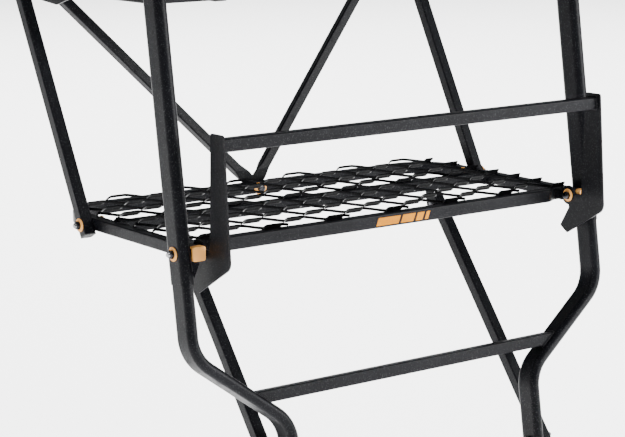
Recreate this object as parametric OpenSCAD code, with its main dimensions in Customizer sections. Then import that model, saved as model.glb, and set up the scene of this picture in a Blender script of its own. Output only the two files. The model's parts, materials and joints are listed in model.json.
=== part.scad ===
// Head of a two-person ladder tree stand: platform, flip footrest, seat, rails and top ladder section.
// Built in a platform frame (X right, Y to the tree, Z up, zero at the front pivots), then shifted
// so that the origin is where the tree bracket meets the trunk.

/* [Platform] */
// Distance from the middle to a side rail's centre line
half_w = 500; // [400:5:600]
// Outside size of the square tube
rail = 25.4; // [22:0.1:30]
// Wall of the square tube
wall = 1.6; // [1.2:0.1:2.5]
// Length of a side rail ahead of the front pivots, cap included
nose = 30; // [28:1:40]
// Distance from the front pivots to the rear bolts
rear_bolt_y = 364; // [330:1:380]
// Distance from the front pivots to the rear rail's centre line
rear_y = 510; // [490:1:540]
// Distance from the front pivots to the front rail's centre line
front_y = 23; // [20:1:30]
// Distance from the front pivots to the middle rail's centre line
mid_y = 298; // [290:1:310]
// Centre-line radius of the rear corners
corner_r = 100; // [80:5:110]

/* [Deck mesh] */
// Long way of a mesh opening
mesh_long = 153; // [120:1:180]
// Rows of openings from front to rear
mesh_rows = 13; // [11:2:15]
// Length of a bond between two strands
bond = 34; // [20:1:40]
// Width of a strand
strand = 4; // [3:0.5:5]
// Height of the raised mesh
mesh_h = 11; // [8:0.5:14]

/* [Uprights and ladder] */
// Thickness of the oval upright
up_t = 27; // [25:0.5:30]
// Depth of the oval upright
up_w = 58; // [50:1:60]
// Wall of the oval tubes
oval_wall = 1.4; // [1.2:0.1:2]
// Backward lean of the uprights and the ladder
up_lean = 8.3; // [5:0.1:12]
// Distance from the pivots down to the sleeve's end
sleeve_drop = 60; // [50:1:70]
// Distance from the middle to the ladder tube's centre line
ladder_half = 318; // [280:1:340]
// Depth at which the upper bend's corner lies
bend_top = 203; // [195:1:215]
// Angle of the slanted part below level
bend_slope = 37.4; // [30:0.1:45]
// Centre-line radius of the ladder tube's bends
bend_r = 80; // [60:1:90]
// Length of the ladder tube below the pivots
ladder_len = 700; // [680:5:900]
// Depth of the first rung
rung_z = 303; // [300:1:310]
// Distance between the rungs
rung_gap = 305; // [290:1:320]

/* [Rear frame] */
// Backward lean of the rear tubes
rear_lean = 27.9; // [24:0.1:30]
// Height at which the V brace meets the rear tubes
v_top = 570; // [540:5:600]
// Outside size of the V brace tube
v_tube = 22; // [19:0.5:25]
// Height of the armrest rails
arm_z = 850; // [840:5:900]
// Height of the tree bar and its bracket
tree_z = 800; // [780:5:810]
// Distance from the front pivots to the trunk
tree_y = 870; // [865:1:890]

/* [Footrest] */
// Height of the footrest bar's centre
foot_z = 211; // [200:1:215]
// Distance of the footrest bar ahead of the pivots
foot_y = 71; // [68:1:74]
// Thickness of the side plates
plate = 4; // [3:0.5:5]

/* [Seat] */
// Height of the seat pivots
seat_z = 468; // [460:1:480]
// Distance from the front pivots to the seat pivots
seat_y = 570; // [560:1:575]
// Length of the seat ahead of its pivots
seat_len = 385; // [350:5:400]
// Thickness of the seat cushion
cushion_h = 50; // [40:1:60]

/* [Shooting rail] */
// Distance from the front pivots to the rail's hinges
hinge_y = 600; // [590:1:620]
// Height of the shooting rail
shoot_z = 890; // [888:1:900]
// Distance of the padded bar from the front pivots
shoot_y = 71; // [60:1:80]

/* [Hidden] */
$fn = 48;

half = rail / 2;
tube_r = 3;                                   // outside corner radius of square tube
plug_w = rail - 2 * wall - 0.4;               // plug inside a square tube
plug_r = 1.5;
in_face = half_w - half;                      // inner face of a side rail
out_face = half_w + half;                     // outer face of a side rail
up_x = out_face + up_t / 2;                   // centre of an upright
rear_x = out_face + half;                     // centre of a rear tube
neck_gap = 0.2;                               // play between sleeve and ladder tube
neck_t = up_t - 2 * oval_wall - 2 * neck_gap;
neck_w = up_w - 2 * oval_wall - 2 * neck_gap;
neck_in = 60;                                 // ladder tube inside the upright above the pivots
joint = 0.01;                                 // hairline between two stretches of one tube
bend_turn = 90 - bend_slope;
bend_low = bend_top + (up_x - ladder_half) * tan(bend_slope);
bend_tan = bend_r * tan(bend_turn / 2);

bolt_r = 5;                                   // main bolts
bolt_hole = bolt_r + 0.2;
small_r = 4;                                  // lighter bolts
small_hole = small_r + 0.2;
run_play = 0.08;                              // play of a hinge hole on its bolt
head_h = 6.5;
nut_h = 8;
hex_r = 9.2;
small_hex_r = 7.5;
washer_r = 14;
washer_h = 2.5;

plate_in = in_face - 8;                       // inner face of a footrest plate
spacer_h = in_face - plate_in - plate;
boss_r = 21;

brace_top = [283.5, -42];                     // [y, z] of the brace's upper bolt
brace_low_d = 512;                            // its lower bolt, down the ladder tube
brace_low = [-brace_low_d * sin(up_lean), -brace_low_d * cos(up_lean)];
brace_gap = 1.5;
brace_in = ladder_half + neck_t / 2 + brace_gap;
brace_x = brace_in + half;

rear_len = arm_z / cos(rear_lean);            // rear tube from its bolt to the armrest
v_len = v_top / cos(rear_lean);
flat_h = 4.5;                                 // thickness of a flattened brace end
rear_back = rear_y + half;                    // rear face of the rear rail

up_top = arm_z / cos(up_lean) + 13;
arm_front = arm_z * tan(up_lean);
arm_rear = rear_bolt_y + arm_z * tan(rear_lean);

shoot_tube = 22;
lug_h = 4;
shoot_in = out_face + lug_h + 1;              // inner face of a shooting rail arm
shoot_x = shoot_in + shoot_tube / 2;

seat_tube = 22;
seat_plate_in = 466;                          // inner face of a seat bracket's plate
seat_gap = 3;
seat_x = seat_plate_in - seat_gap - seat_tube / 2;
tree_bar_y = rear_bolt_y + tree_z * tan(rear_lean);
back_z = 650;                                 // height of the bar behind the backrest
back_bar_y = rear_bolt_y + back_z * tan(rear_lean);
spigot_d = ladder_len - 30;                   // cross hole for the next ladder section

black = "#1c1d21";
steel = "#8b8d90";
orange = "#f0913a";
fabric = "#26272a";

// ---------- helpers ----------

// Moves the platform frame so that the origin lies at the trunk
module frame() translate([0, -tree_y, -tree_z]) children();

// Draws on the right, or mirrored on the left
module on(side) {
    if (side > 0) children();
    else mirror([1, 0, 0]) children();
}

module both() {
    children();
    mirror([1, 0, 0]) children();
}

// Frame of the uprights and the ladder: Z runs up along the tube
module leaned() rotate([-up_lean, 0, 0]) children();

// Frame of the rear tubes: Z runs up along the tube from its bolt
module rear_leaned() translate([0, rear_bolt_y, 0]) rotate([-rear_lean, 0, 0]) children();

// Rectangle with round corners, centred
module soft_rect(w, h, r) {
    square([w - 2 * r, h], center = true);
    square([w, h - 2 * r], center = true);
    for (x = [-1, 1], y = [-1, 1])
        translate([x * (w / 2 - r), y * (h / 2 - r)]) circle(r);
}

module square_ring(s, w) {
    difference() {
        soft_rect(s, s, tube_r);
        soft_rect(s - 2 * w, s - 2 * w, tube_r - w / 2);
    }
}

// Flat oval with straight sides, t across X and w across Y
module oval(t, w) {
    square([t, w - t], center = true);
    for (y = [-1, 1]) translate([0, y * (w - t) / 2]) circle(t / 2);
}

module oval_ring(t, w) {
    difference() {
        oval(t, w);
        oval(t - 2 * oval_wall, w - 2 * oval_wall);
    }
}

// Square tube along X, from x0 to x1
module tube_x(x0, x1, s = rail) translate([x0, 0, 0]) rotate([90, 0, 90])
    linear_extrude(x1 - x0) square_ring(s, wall);

// Square tube along Y, from y0 to y1
module tube_y(y0, y1, s = rail) translate([0, y0, 0]) rotate([-90, 0, 0])
    linear_extrude(y1 - y0) square_ring(s, wall);

// Round bar along X at [y, z]
module rod_x(x0, x1, p, r) translate([x0, p.x, p.y]) rotate([0, 90, 0]) cylinder(h = x1 - x0, r = r);

// Round bar along Y at [x, z]
module rod_y(y0, y1, p, r) translate([p.x, y0, p.y]) rotate([-90, 0, 0]) cylinder(h = y1 - y0, r = r);

// Hexagon along X at [y, z]
module hex_x(x0, x1, p, r) translate([x0, p.x, p.y]) rotate([0, 90, 0])
    cylinder(h = x1 - x0, r = r, $fn = 6);

// Hexagon along Y at [x, z]
module hex_y(y0, y1, p, r) translate([p.x, y0, p.y]) rotate([-90, 0, 0])
    cylinder(h = y1 - y0, r = r, $fn = 6);

// Ring along X at [y, z]
module ring_x(x0, x1, p, r, hole) difference() {
    rod_x(x0, x1, p, r);
    rod_x(x0 - 1, x1 + 1, p, hole);
}

// Plate in the YZ plane from an outline of [y, z] points, between x0 and x1
module plate_x(x0, x1) translate([x0, 0, 0]) rotate([90, 0, 90]) linear_extrude(x1 - x0) children();

// Points of a corner at b, between a and c, rounded to radius r
function unit(v) = v / norm(v);
function corner(a, b, c, r, n = 8) =
    let (u = unit(a - b), v = unit(c - b),
         turn = acos(u * v),
         m = b + unit(u + v) * r / sin(turn / 2),
         p = b + u * r / tan(turn / 2) - m,
         q = b + v * r / tan(turn / 2) - m)
    [for (i = [0 : n]) m + r * unit(p * sin((180 - turn) * (1 - i / n)) + q * sin((180 - turn) * i / n))];

// Outline whose corners [x, y, radius] are rounded
function rounded(pts) = let (n = len(pts), xy = [for (p = pts) [p.x, p.y]])
    [for (i = [0 : n - 1])
        each (pts[i].z > 0
            ? corner(xy[(i + n - 1) % n], xy[i], xy[(i + 1) % n], pts[i].z)
            : [xy[i]])];

// ---------- platform ----------

module side_rail(side) color(black) frame() on(side) difference() {
    translate([half_w, 0, 0]) tube_y(-nose + washer_h, rear_y - corner_r);
    rod_x(in_face - 1, out_face + 1, [0, 0], bolt_hole);
    rod_x(in_face - 1, out_face + 1, [rear_bolt_y, 0], bolt_hole);
}

module rear_rail() color(black) frame() difference() {
    translate([0, rear_y, 0]) tube_x(-half_w + corner_r, half_w - corner_r);
    rod_y(rear_y - rail, rear_y + rail, [0, 0], bolt_hole);
}

// Bent corner between a side rail and the rear rail
module rear_corner(side) color(black) frame() on(side) translate([half_w - corner_r, rear_y - corner_r, 0])
    rotate_extrude(angle = 90, $fn = 96) translate([corner_r, 0]) square_ring(rail, wall);

crimp_start = 432;                            // where the front rail begins to flatten
crimp_end = 466;                              // where it is flat
crimp_h = 9;                                  // thickness of its flat ends

// Front rail, whose ends are pressed flat and set back behind the pivots
module front_rail() color(black) frame() translate([0, front_y, 0]) {
    tube_x(-crimp_start, crimp_start);
    both() {
        hull() {
            translate([crimp_start, 0, 0]) rotate([90, 0, 90]) linear_extrude(0.5)
                soft_rect(rail, rail, tube_r, $fn = 24);
            translate([crimp_end - 0.5, half - crimp_h, -half]) cube([0.5, crimp_h, rail]);
        }
        translate([crimp_end, half - crimp_h, -half]) cube([in_face - crimp_end, crimp_h, rail]);
    }
}

module mid_rail() color(black) frame() translate([0, mid_y, 0]) tube_x(-in_face, in_face);

mesh_y = front_y + 10;                        // line of the first bonds
mesh_lap = 8;                                 // mesh beyond the rear rail's centre line
mesh_half = half_w - 3;                       // half its width, on the side rails
mesh_phase = 19.5;                            // middle of a front bond right of the middle
mesh_step = (rear_y - mesh_y) / mesh_rows;

// Corners of a strand that zigzags between row j and the next, shifted by dy
function zigzag(j, dy) = let (n = ceil(half_w / mesh_long) + 1, q = mesh_long / 2, ph = (j % 2) * q)
    [for (i = [-2 * n : 2 * n], e = [-1, 1])
        [i * q + ph + e * bond / 2 + mesh_phase, mesh_y + (j + abs(i) % 2) * mesh_step + dy
            + (abs(i) % 2 == 0 ? 1 : -1) * (strand / 2 - 0.1)]];

function reversed(v) = [for (i = [len(v) - 1 : -1 : 0]) v[i]];

// Outline of the deck over its rails, round at the rear corners
module deck_outline() {
    inner = mesh_half - corner_r;
    side_end = rear_y + mesh_lap - corner_r;
    translate([-mesh_half, 0]) square([2 * mesh_half, side_end]);
    translate([-inner, 0]) square([2 * inner, side_end + corner_r]);
    for (x = [-inner, inner]) translate([x, side_end]) circle(corner_r);
}

// Raised expanded metal: zigzag strands that meet at their bonds
module deck_mesh() color(black) frame() translate([0, 0, half]) linear_extrude(mesh_h) intersection() {
    deck_outline();
    union() {
        for (j = [0 : mesh_rows - 1])
            polygon(concat(zigzag(j, -strand / 2), reversed(zigzag(j, strand / 2))));
    }
}

cap_wall = 1.5;                               // skirt of a rail cap
cap_w = rail + 2 * cap_wall;
cap_len = 15;                                 // its length
cap_cut = 6;                                  // length of its outer side, beside the upright

// Caps over the front ends of the side rails
module rail_caps() color(orange) frame() both() difference() {
    translate([half_w, -nose, 0]) rotate([-90, 0, 0]) {
        linear_extrude(washer_h) soft_rect(cap_w, cap_w, tube_r + cap_wall);
        linear_extrude(cap_len) difference() {
            soft_rect(cap_w, cap_w, tube_r + cap_wall);
            soft_rect(rail + 0.1, rail + 0.1, tube_r);
        }
    }
    translate([out_face, cap_cut - nose, -cap_w]) cube([2 * cap_wall, cap_len, 2 * cap_w]);
}

// ---------- uprights and ladder ----------

module upright(side) color(black) frame() on(side) leaned() difference() {
    translate([up_x, 0, -sleeve_drop]) linear_extrude(sleeve_drop + up_top) oval_ring(up_t, up_w);
    rod_x(up_x - up_t, up_x + up_t, [0, 0], bolt_hole);
    rod_x(up_x - up_t, up_x + up_t, [0, arm_z / cos(up_lean)], small_hole);
}

// Ladder tube swept with the section drawn by its children, in straight and bent stretches
module neck_path() {
    slant = [cos(bend_slope), sin(bend_slope)];
    p1 = [up_x, -bend_top] - (bend_tan + joint) * slant;
    p2 = [ladder_half, -bend_low] + (bend_tan + joint) * slant;
    translate([up_x, 0, -bend_top + bend_tan]) linear_extrude(bend_top - bend_tan + neck_in) children();
    translate([up_x - bend_r, 0, -bend_top + bend_tan]) neck_bend(-bend_turn) children();
    translate([p1.x, 0, p1.y]) rotate([0, 180 + bend_turn, 0]) linear_extrude(norm(p2 - p1)) children();
    translate([ladder_half + bend_r, 0, -bend_low - bend_tan]) neck_bend(180 - bend_turn) children();
    translate([ladder_half, 0, -ladder_len]) linear_extrude(ladder_len - bend_low - bend_tan) children();
}

// Bend of the ladder tube that starts at angle a about its centre
module neck_bend(a) rotate([90, 0, 0]) rotate([0, 0, a])
    rotate_extrude(angle = bend_turn, $fn = 96) translate([bend_r, 0]) children();

module neck(side) color(black) frame() on(side) leaned() difference() {
    neck_path() oval_ring(neck_t, neck_w);
    rod_x(up_x - up_t, up_x + up_t, [0, 0], bolt_hole);
    rod_x(ladder_half - up_t, ladder_half + up_t, [0, -brace_low_d], small_hole);
    rod_x(ladder_half - up_t, ladder_half + up_t, [0, -spigot_d], small_hole);
}

// Rung between the slanted parts, cut to their outline
module rung_upper() color(black) frame() leaned() difference() {
    reach = up_x - (rung_z - bend_top) / tan(bend_slope);
    translate([0, 0, -rung_z]) tube_x(-reach, reach);
    both() neck_path() oval(neck_t, neck_w);
}

module rung_lower() color(black) frame() leaned() translate([0, 0, -rung_z - rung_gap])
    tube_x(-ladder_half + neck_t / 2, ladder_half - neck_t / 2);

brace_run = norm(brace_top - brace_low);
brace_tilt = atan2(brace_top.x - brace_low.x, brace_top.y - brace_low.y);
brace_end = 19;                               // brace beyond its bolts

module brace(side) color(black) frame() on(side) translate([brace_x, brace_low.x, brace_low.y])
    rotate([-brace_tilt, 0, 0]) difference() {
        translate([0, 0, -brace_end]) linear_extrude(brace_run + 2 * brace_end) square_ring(rail, wall);
        rod_x(-rail, rail, [0, 0], small_hole);
        rod_x(-rail, rail, [0, brace_run], small_hole);
    }

// Plates under the middle rail that the braces bolt to
module brace_tabs() color(black) frame() both() difference() {
    plate_x(brace_in - plate, brace_in)
        polygon(rounded([[286, -half, 0], [310, -half, 0], [303, -58, 9], [268, -58, 9]]));
    rod_x(brace_in - rail, brace_in + 1, brace_top, small_hole);
}

module cross_bolt(x0, x1, p) {
    hex_x(x0 - head_h, x0, p, small_hex_r);
    rod_x(x0, x1 + nut_h + 3, p, small_r);
}

module small_nut(x0, p) difference() {
    hex_x(x0, x0 + nut_h, p, small_hex_r);
    rod_x(x0 - 1, x0 + nut_h + 1, p, small_r);
}

module brace_bolts() color(steel) frame() both() {
    low_in = ladder_half - neck_t / 2;
    for (b = [[brace_in - plate, brace_top], [low_in, brace_low]]) {
        cross_bolt(b[0], brace_in + rail, b[1]);
        small_nut(brace_in + rail, b[1]);
    }
    ring_x(brace_in - brace_gap, brace_in, brace_low, 11, small_hole);
}

// ---------- rear frame ----------

rear_foot = 23;                               // rear tube below its bolt
rear_head = 20;                               // rear tube above the armrest bolt

module rear_tube(side) color(black) frame() on(side) rear_leaned() difference() {
    translate([rear_x, 0, -rear_foot]) linear_extrude(rear_foot + rear_len + rear_head)
        square_ring(rail, wall);
    rod_x(rear_x - rail, rear_x + rail, [0, 0], bolt_hole);
    rod_x(rear_x - rail, rear_x + rail, [0, rear_len], small_hole);
    rod_y(-rail, rail, [rear_x, v_len], small_hole);
}

// Plugs in the open ends of the uprights, rear tubes and armrests
module tube_caps() color(black) frame() both() {
    leaned() translate([up_x, 0, up_top]) {
        linear_extrude(2.5) oval(up_t, up_w);
        translate([0, 0, -7]) linear_extrude(7) oval(up_t - 2 * oval_wall - 0.4, up_w - 2 * oval_wall - 0.4);
    }
    rear_leaned() for (e = [[rear_len + rear_head, 0], [-rear_foot, 180]])
        translate([rear_x, 0, e[0]]) rotate([e[1], 0, 0]) square_plug();
    for (e = [[arm_y0, 90], [arm_y1, -90]])
        translate([half_w, e[0], arm_z]) rotate([e[1], 0, 0]) square_plug();
}

module square_plug() {
    linear_extrude(2.5) soft_rect(rail, rail, tube_r);
    translate([0, 0, -9]) linear_extrude(9) soft_rect(plug_w, plug_w, plug_r);
}

flat_w = 30;                                  // width of a flattened end
flat_len = 34;                                // flattened length beyond the bolt
press_len = 26;                               // length over which the tube is pressed flat

// Diagonal of the V brace. flat_y is the middle of its lower flattened end.
module v_brace(side, flat_y) color(black) frame() on(side) {
    top_out = half + flat_h / 2;
    top = [rear_x, rear_bolt_y + v_len * sin(rear_lean) + top_out * cos(rear_lean),
           v_len * cos(rear_lean) - top_out * sin(rear_lean)];
    run = top - [0, flat_y, 0];
    turn = [-atan2(run.y, run.z), atan2(run.x, norm([run.y, run.z]))];
    t0 = flat_len + press_len;
    difference() {
        union() {
            v_axis(flat_y, turn, t0) linear_extrude(norm(run) - 2 * t0) square_ring(v_tube, wall);
            hull() {
                v_axis(flat_y, turn, t0 - 1) v_slice();
                v_foot(flat_y, turn) flat_slice();
            }
            v_foot(flat_y, turn) flat_end();
            hull() {
                v_axis(flat_y, turn, norm(run) - t0 + joint) v_slice();
                v_head(turn) flat_slice();
            }
            v_head(turn) flat_end();
        }
        rod_y(rear_back - 1, rear_back + rail, [0, 0], bolt_hole);
        rear_leaned() rod_y(half - 1, half + rail, [rear_x, v_len], small_hole);
    }
}

// Along the diagonal, at distance t from its lower bolt
module v_axis(flat_y, turn, t) translate([0, flat_y, 0]) rotate([turn[0], 0, 0]) rotate([0, turn[1], 0])
    translate([0, 0, t]) children();

// At the lower bolt, and at the upper one, with Z towards the tube
module v_foot(flat_y, turn) translate([0, flat_y, 0]) rotate([0, turn[1], 0]) children();
module v_head(turn) rear_leaned() translate([rear_x, half + flat_h / 2, v_len]) rotate([0, 180 + turn[1], 0])
    children();

module v_slice() linear_extrude(1 - joint) soft_rect(v_tube, v_tube, tube_r, $fn = 16);
module flat_slice() translate([-flat_w / 2, -flat_h / 2, flat_len + joint]) cube([flat_w, flat_h, 1]);

// Flattened end of a tube, round about its bolt, running up
module flat_end() translate([0, flat_h / 2, 0]) rotate([90, 0, 0]) linear_extrude(flat_h) {
    circle(flat_w / 2);
    translate([-flat_w / 2, 0]) square([flat_w, flat_len]);
}

v_back = rear_back + 2 * flat_h;              // rear of the two flattened ends at the middle

module v_bolts() color(steel) frame() {
    hex_y(rear_y - half - washer_h - head_h, rear_y - half - washer_h, [0, 0], hex_r);
    rod_y(rear_y - half - washer_h, v_back + nut_h + 3, [0, 0], bolt_r);
    difference() {
        hex_y(v_back, v_back + nut_h, [0, 0], hex_r);
        rod_y(v_back - 1, v_back + nut_h + 1, [0, 0], bolt_r);
    }
    both() rear_leaned() {
        hex_y(-half - head_h, -half, [rear_x, v_len], small_hex_r);
        rod_y(-half, half + flat_h + nut_h + 3, [rear_x, v_len], small_r);
        difference() {
            hex_y(half + flat_h, half + flat_h + nut_h, [rear_x, v_len], small_hex_r);
            rod_y(half, half + flat_h + nut_h + 1, [rear_x, v_len], small_r);
        }
    }
}

// ---------- main fasteners ----------

front_head = plate_in - washer_h;             // under the heads of the pivot bolts
rear_head_x = in_face - washer_h;             // under the heads of the rear bolts
up_out = up_x + up_t / 2 + washer_h;
rear_out = rear_x + half + washer_h;

module frame_bolts() color(steel) frame() both()
    for (b = [[front_head, up_out, 0], [rear_head_x, rear_out, rear_bolt_y]]) {
        hex_x(b[0] - head_h, b[0], [b[2], 0], hex_r);
        rod_x(b[0], b[1] + nut_h + 4, [b[2], 0], bolt_r);
    }

module frame_nuts() color(steel) frame() both()
    for (b = [[up_out, 0], [rear_out, rear_bolt_y]]) difference() {
        hex_x(b[0], b[0] + nut_h, [b[1], 0], hex_r);
        rod_x(b[0] - 1, b[0] + nut_h + 1, [b[1], 0], bolt_r);
    }

module nylon_washers() color(orange) frame() {
    both() {
        ring_x(front_head, plate_in, [0, 0], washer_r, bolt_hole);
        ring_x(up_out - washer_h, up_out, [0, 0], washer_r, bolt_hole);
        ring_x(rear_head_x, in_face, [rear_bolt_y, 0], washer_r, bolt_hole);
        ring_x(rear_out - washer_h, rear_out, [rear_bolt_y, 0], washer_r, bolt_hole);
    }
    difference() {
        rod_y(rear_y - half - washer_h, rear_y - half, [0, 0], washer_r + 2);
        rod_y(rear_y - rail, rear_y, [0, 0], bolt_hole);
    }
}

module pivot_spacers() color(black) frame() both()
    ring_x(plate_in + plate + 0.3, in_face, [0, 0], washer_r, bolt_hole);

// ---------- footrest ----------

// Hooked side plate: arm ahead of the pivot, round boss, and a toe that stops under the front rail
module footrest_plate(side) color(black) frame() on(side) difference() {
    plate_x(plate_in, plate_in + plate) union() {
        circle(boss_r);
        polygon(rounded([
            [-49, 232, 4], [-92, 232, 6], [-109, -19, 23], [3, -84.5, 3], [24.5, -70, 3],
            [-2, -boss_r - 6, 4], [0, -boss_r + 3, 0], [-10, 0, 0], [-boss_r + 4, 5, 0], [-40, 6, 4]
        ]));
    }
    rod_x(plate_in - 1, plate_in + plate + 1, [0, 0], bolt_r + run_play);
}

module footrest_bar() color(black) frame() translate([0, -foot_y, foot_z]) tube_x(-plate_in, plate_in);

// ---------- armrests and shooting rail ----------

arm_y0 = arm_front - 42;
arm_y1 = arm_rear + 26;

module armrest(side) color(black) frame() on(side) difference() {
    translate([half_w, 0, arm_z]) tube_y(arm_y0, arm_y1);
    rod_x(in_face - 1, out_face + 1, [arm_front, arm_z], small_hole);
    rod_x(in_face - 1, out_face + 1, [arm_rear, arm_z], small_hole);
    rod_x(in_face - 1, out_face + 1, [hinge_y, arm_z], small_hole);
}

sleeve_w = 46;                                // outside size of the foam sleeves
arm_sleeve_r = 14;                            // their corners on the armrests
shoot_sleeve_r = 18;                          // and on the shooting rail
pad_y0 = arm_front + 66;
pad_y1 = hinge_y - 40;
shoot_pad_half = 470;

// Foam sleeve round an armrest rail
module armrest_pad(side) color(fabric) frame() on(side) translate([half_w, pad_y0, arm_z]) rotate([-90, 0, 0])
    linear_extrude(pad_y1 - pad_y0) difference() {
        soft_rect(sleeve_w, sleeve_w, arm_sleeve_r);
        soft_rect(rail + 0.6, rail + 0.6, tube_r);
    }

module armrest_bolts() color(steel) frame() both() {
    for (p = [[arm_front, up_x + up_t / 2], [arm_rear, rear_x + half], [hinge_y, out_face + lug_h]]) {
        cross_bolt(in_face, p[1], [p[0], arm_z]);
        small_nut(p[1], [p[0], arm_z]);
    }
}

// Lugs on the armrests that carry the shooting rail's hinges
module hinge_lugs() color(black) frame() both() difference() {
    plate_x(out_face, out_face + lug_h) polygon(rounded([
        [hinge_y - 18, arm_z - 12, 3], [hinge_y + 18, arm_z - 12, 3],
        [hinge_y + 18, shoot_z + 16, 15], [hinge_y - 18, shoot_z + 16, 15]
    ]));
    rod_x(out_face - 1, shoot_in, [hinge_y, arm_z], small_hole);
    rod_x(out_face - 1, shoot_in, [hinge_y, shoot_z], small_hole);
}

module shooting_arm(side) color(black) frame() on(side) difference() {
    translate([shoot_x, 0, shoot_z]) tube_y(shoot_y - shoot_tube / 2, hinge_y + 20, shoot_tube);
    rod_x(shoot_in - 1, shoot_in + rail, [hinge_y, shoot_z], small_r + run_play);
}

module shooting_bar() color(black) frame() translate([0, shoot_y, shoot_z])
    tube_x(-shoot_in, shoot_in, shoot_tube);

module shooting_pad() color(fabric) frame() translate([-shoot_pad_half, shoot_y, shoot_z]) rotate([90, 0, 90])
    linear_extrude(2 * shoot_pad_half) difference() {
        soft_rect(sleeve_w, sleeve_w, shoot_sleeve_r);
        soft_rect(shoot_tube + 0.6, shoot_tube + 0.6, tube_r);
    }

module shooting_bolts() color(steel) frame() both() {
    hex_x(out_face - head_h - 0.2, out_face - 0.2, [hinge_y, shoot_z], small_hex_r);
    rod_x(out_face - 0.2, shoot_in + shoot_tube + nut_h + 4, [hinge_y, shoot_z], small_r);
    small_nut(shoot_in + shoot_tube + 1, [hinge_y, shoot_z]);
}

bumper_y = arm_front + 4;

// Rubber stops under the arms that meet the uprights' caps
module rest_bumpers() color(black) frame() both() translate([shoot_x, bumper_y, 0]) {
    top = (up_top + 2.5) * cos(up_lean) + up_w / 2 * sin(up_lean);
    translate([0, 0, top + 0.4]) cylinder(h = shoot_z - shoot_tube / 2 - top - 0.4, r = 8);
}

// ---------- seat and back ----------

module seat_bracket(side) color(black) frame() on(side) difference() {
    union() {
        stub = [rear_bolt_y + seat_z * tan(rear_lean), seat_z];
        translate([0, stub.x, stub.y]) rotate([-rear_lean, 0, 0]) tube_x(seat_plate_in + plate, out_face);
        plate_x(seat_plate_in, seat_plate_in + plate) polygon(rounded([
            [496, seat_z - 17, 3], [560, seat_z - 34, 12], [628, seat_z - 28, 8],
            [634, seat_z + 22, 8], [560, seat_z + 22, 12], [496, seat_z - 4, 5]
        ]));
        translate([seat_x - seat_tube / 2 + 2, 498, seat_z - seat_tube / 2 - 0.3 - plate])
            cube([seat_plate_in - seat_x + seat_tube / 2 - 2, 34, plate]);
    }
    rod_x(seat_plate_in - 1, seat_plate_in + plate + 1, [seat_y, seat_z], small_hole);
}

seat_front = seat_y - seat_len;

module seat_side(side) color(black) frame() on(side) difference() {
    translate([seat_x, 0, seat_z]) tube_y(seat_front, seat_y + 18, seat_tube);
    rod_x(seat_x - rail, seat_x + rail, [seat_y, seat_z], small_r + run_play);
}

module seat_cross(y) color(black) frame() translate([0, y, seat_z])
    tube_x(-seat_x + seat_tube / 2, seat_x - seat_tube / 2, seat_tube);

module seat_cushion() color(fabric) frame()
    translate([0, seat_y - seat_len / 2 - 5, seat_z + seat_tube / 2 + 0.3]) linear_extrude(cushion_h)
        soft_rect(2 * seat_x + 16, seat_len - 2, 35);

module seat_bolts() color(steel) frame() both() {
    x0 = seat_x - seat_tube / 2 - 0.5;
    hex_x(x0 - head_h, x0, [seat_y, seat_z], small_hex_r);
    rod_x(x0, seat_plate_in + plate + nut_h + 3, [seat_y, seat_z], small_r);
    small_nut(seat_plate_in + plate, [seat_y, seat_z]);
}

module back_bar() color(black) frame() translate([0, back_bar_y, back_z]) tube_x(-out_face, out_face);

module tree_bar() color(black) frame() difference() {
    translate([0, tree_bar_y, tree_z]) tube_x(-out_face, out_face);
    for (x = [-bracket_bolt_x, bracket_bolt_x])
        rod_y(tree_bar_y - rail, tree_bar_y + rail, [x, tree_z], small_hole);
}

back_size = [880, 200, 30];                   // backrest across, along the rear tubes and thick
back_gap = 21;                                // its rear face ahead of the rear tubes' centre lines
back_mid = 805;                               // its middle along the rear tubes

// Padded back in front of the two bars
module backrest_pad() color(fabric) frame() rear_leaned() translate([0, -back_gap, back_mid])
    rotate([90, 0, 0]) linear_extrude(back_size.z) soft_rect(back_size.x, back_size.y, 40);

bracket_y = tree_bar_y + half;
bracket_bolt_x = 60;                          // its bolts either side of the middle
bracket_half = 120;                           // half the width of the bracket's base
bracket_drop = 26;                            // base below the tree bar's centre line
bracket_rise = 58;                            // base above it
base_h = 5;                                   // thickness of the base
slot = [98, 18, 10, 34];                      // strap slot: x, z above the bar's centre, width, height

// V bracket that bears on the trunk. A strap slot stands above the bar at each side.
module tree_bracket() color(black) frame() difference() {
    union() {
        translate([-bracket_half, bracket_y, tree_z - bracket_drop])
            cube([2 * bracket_half, base_h, bracket_drop + bracket_rise]);
        both() bracket_jaw();
    }
    both() translate([slot[0], bracket_y - 1, tree_z + slot[1]]) cube([slot[2], base_h + 2, slot[3]]);
    for (x = [-bracket_bolt_x, bracket_bolt_x])
        rod_y(bracket_y - 1, bracket_y + base_h + 1, [x, tree_z], small_hole);
}

// One arm of the V, from beside the middle out to the trunk
module bracket_jaw() translate([0, 0, tree_z - bracket_drop]) linear_extrude(2 * bracket_drop) polygon([
    [14, bracket_y + base_h - 1], [22, bracket_y + base_h - 1], [86, tree_y - 4], [80, tree_y],
    [14, bracket_y + base_h + 7]
]);

module tree_bracket_bolts() color(steel) frame() for (x = [-bracket_bolt_x, bracket_bolt_x]) {
    hex_y(tree_bar_y - half - head_h, tree_bar_y - half, [x, tree_z], small_hex_r);
    rod_y(tree_bar_y - half, bracket_y + base_h + 3, [x, tree_z], small_r);
}

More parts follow.
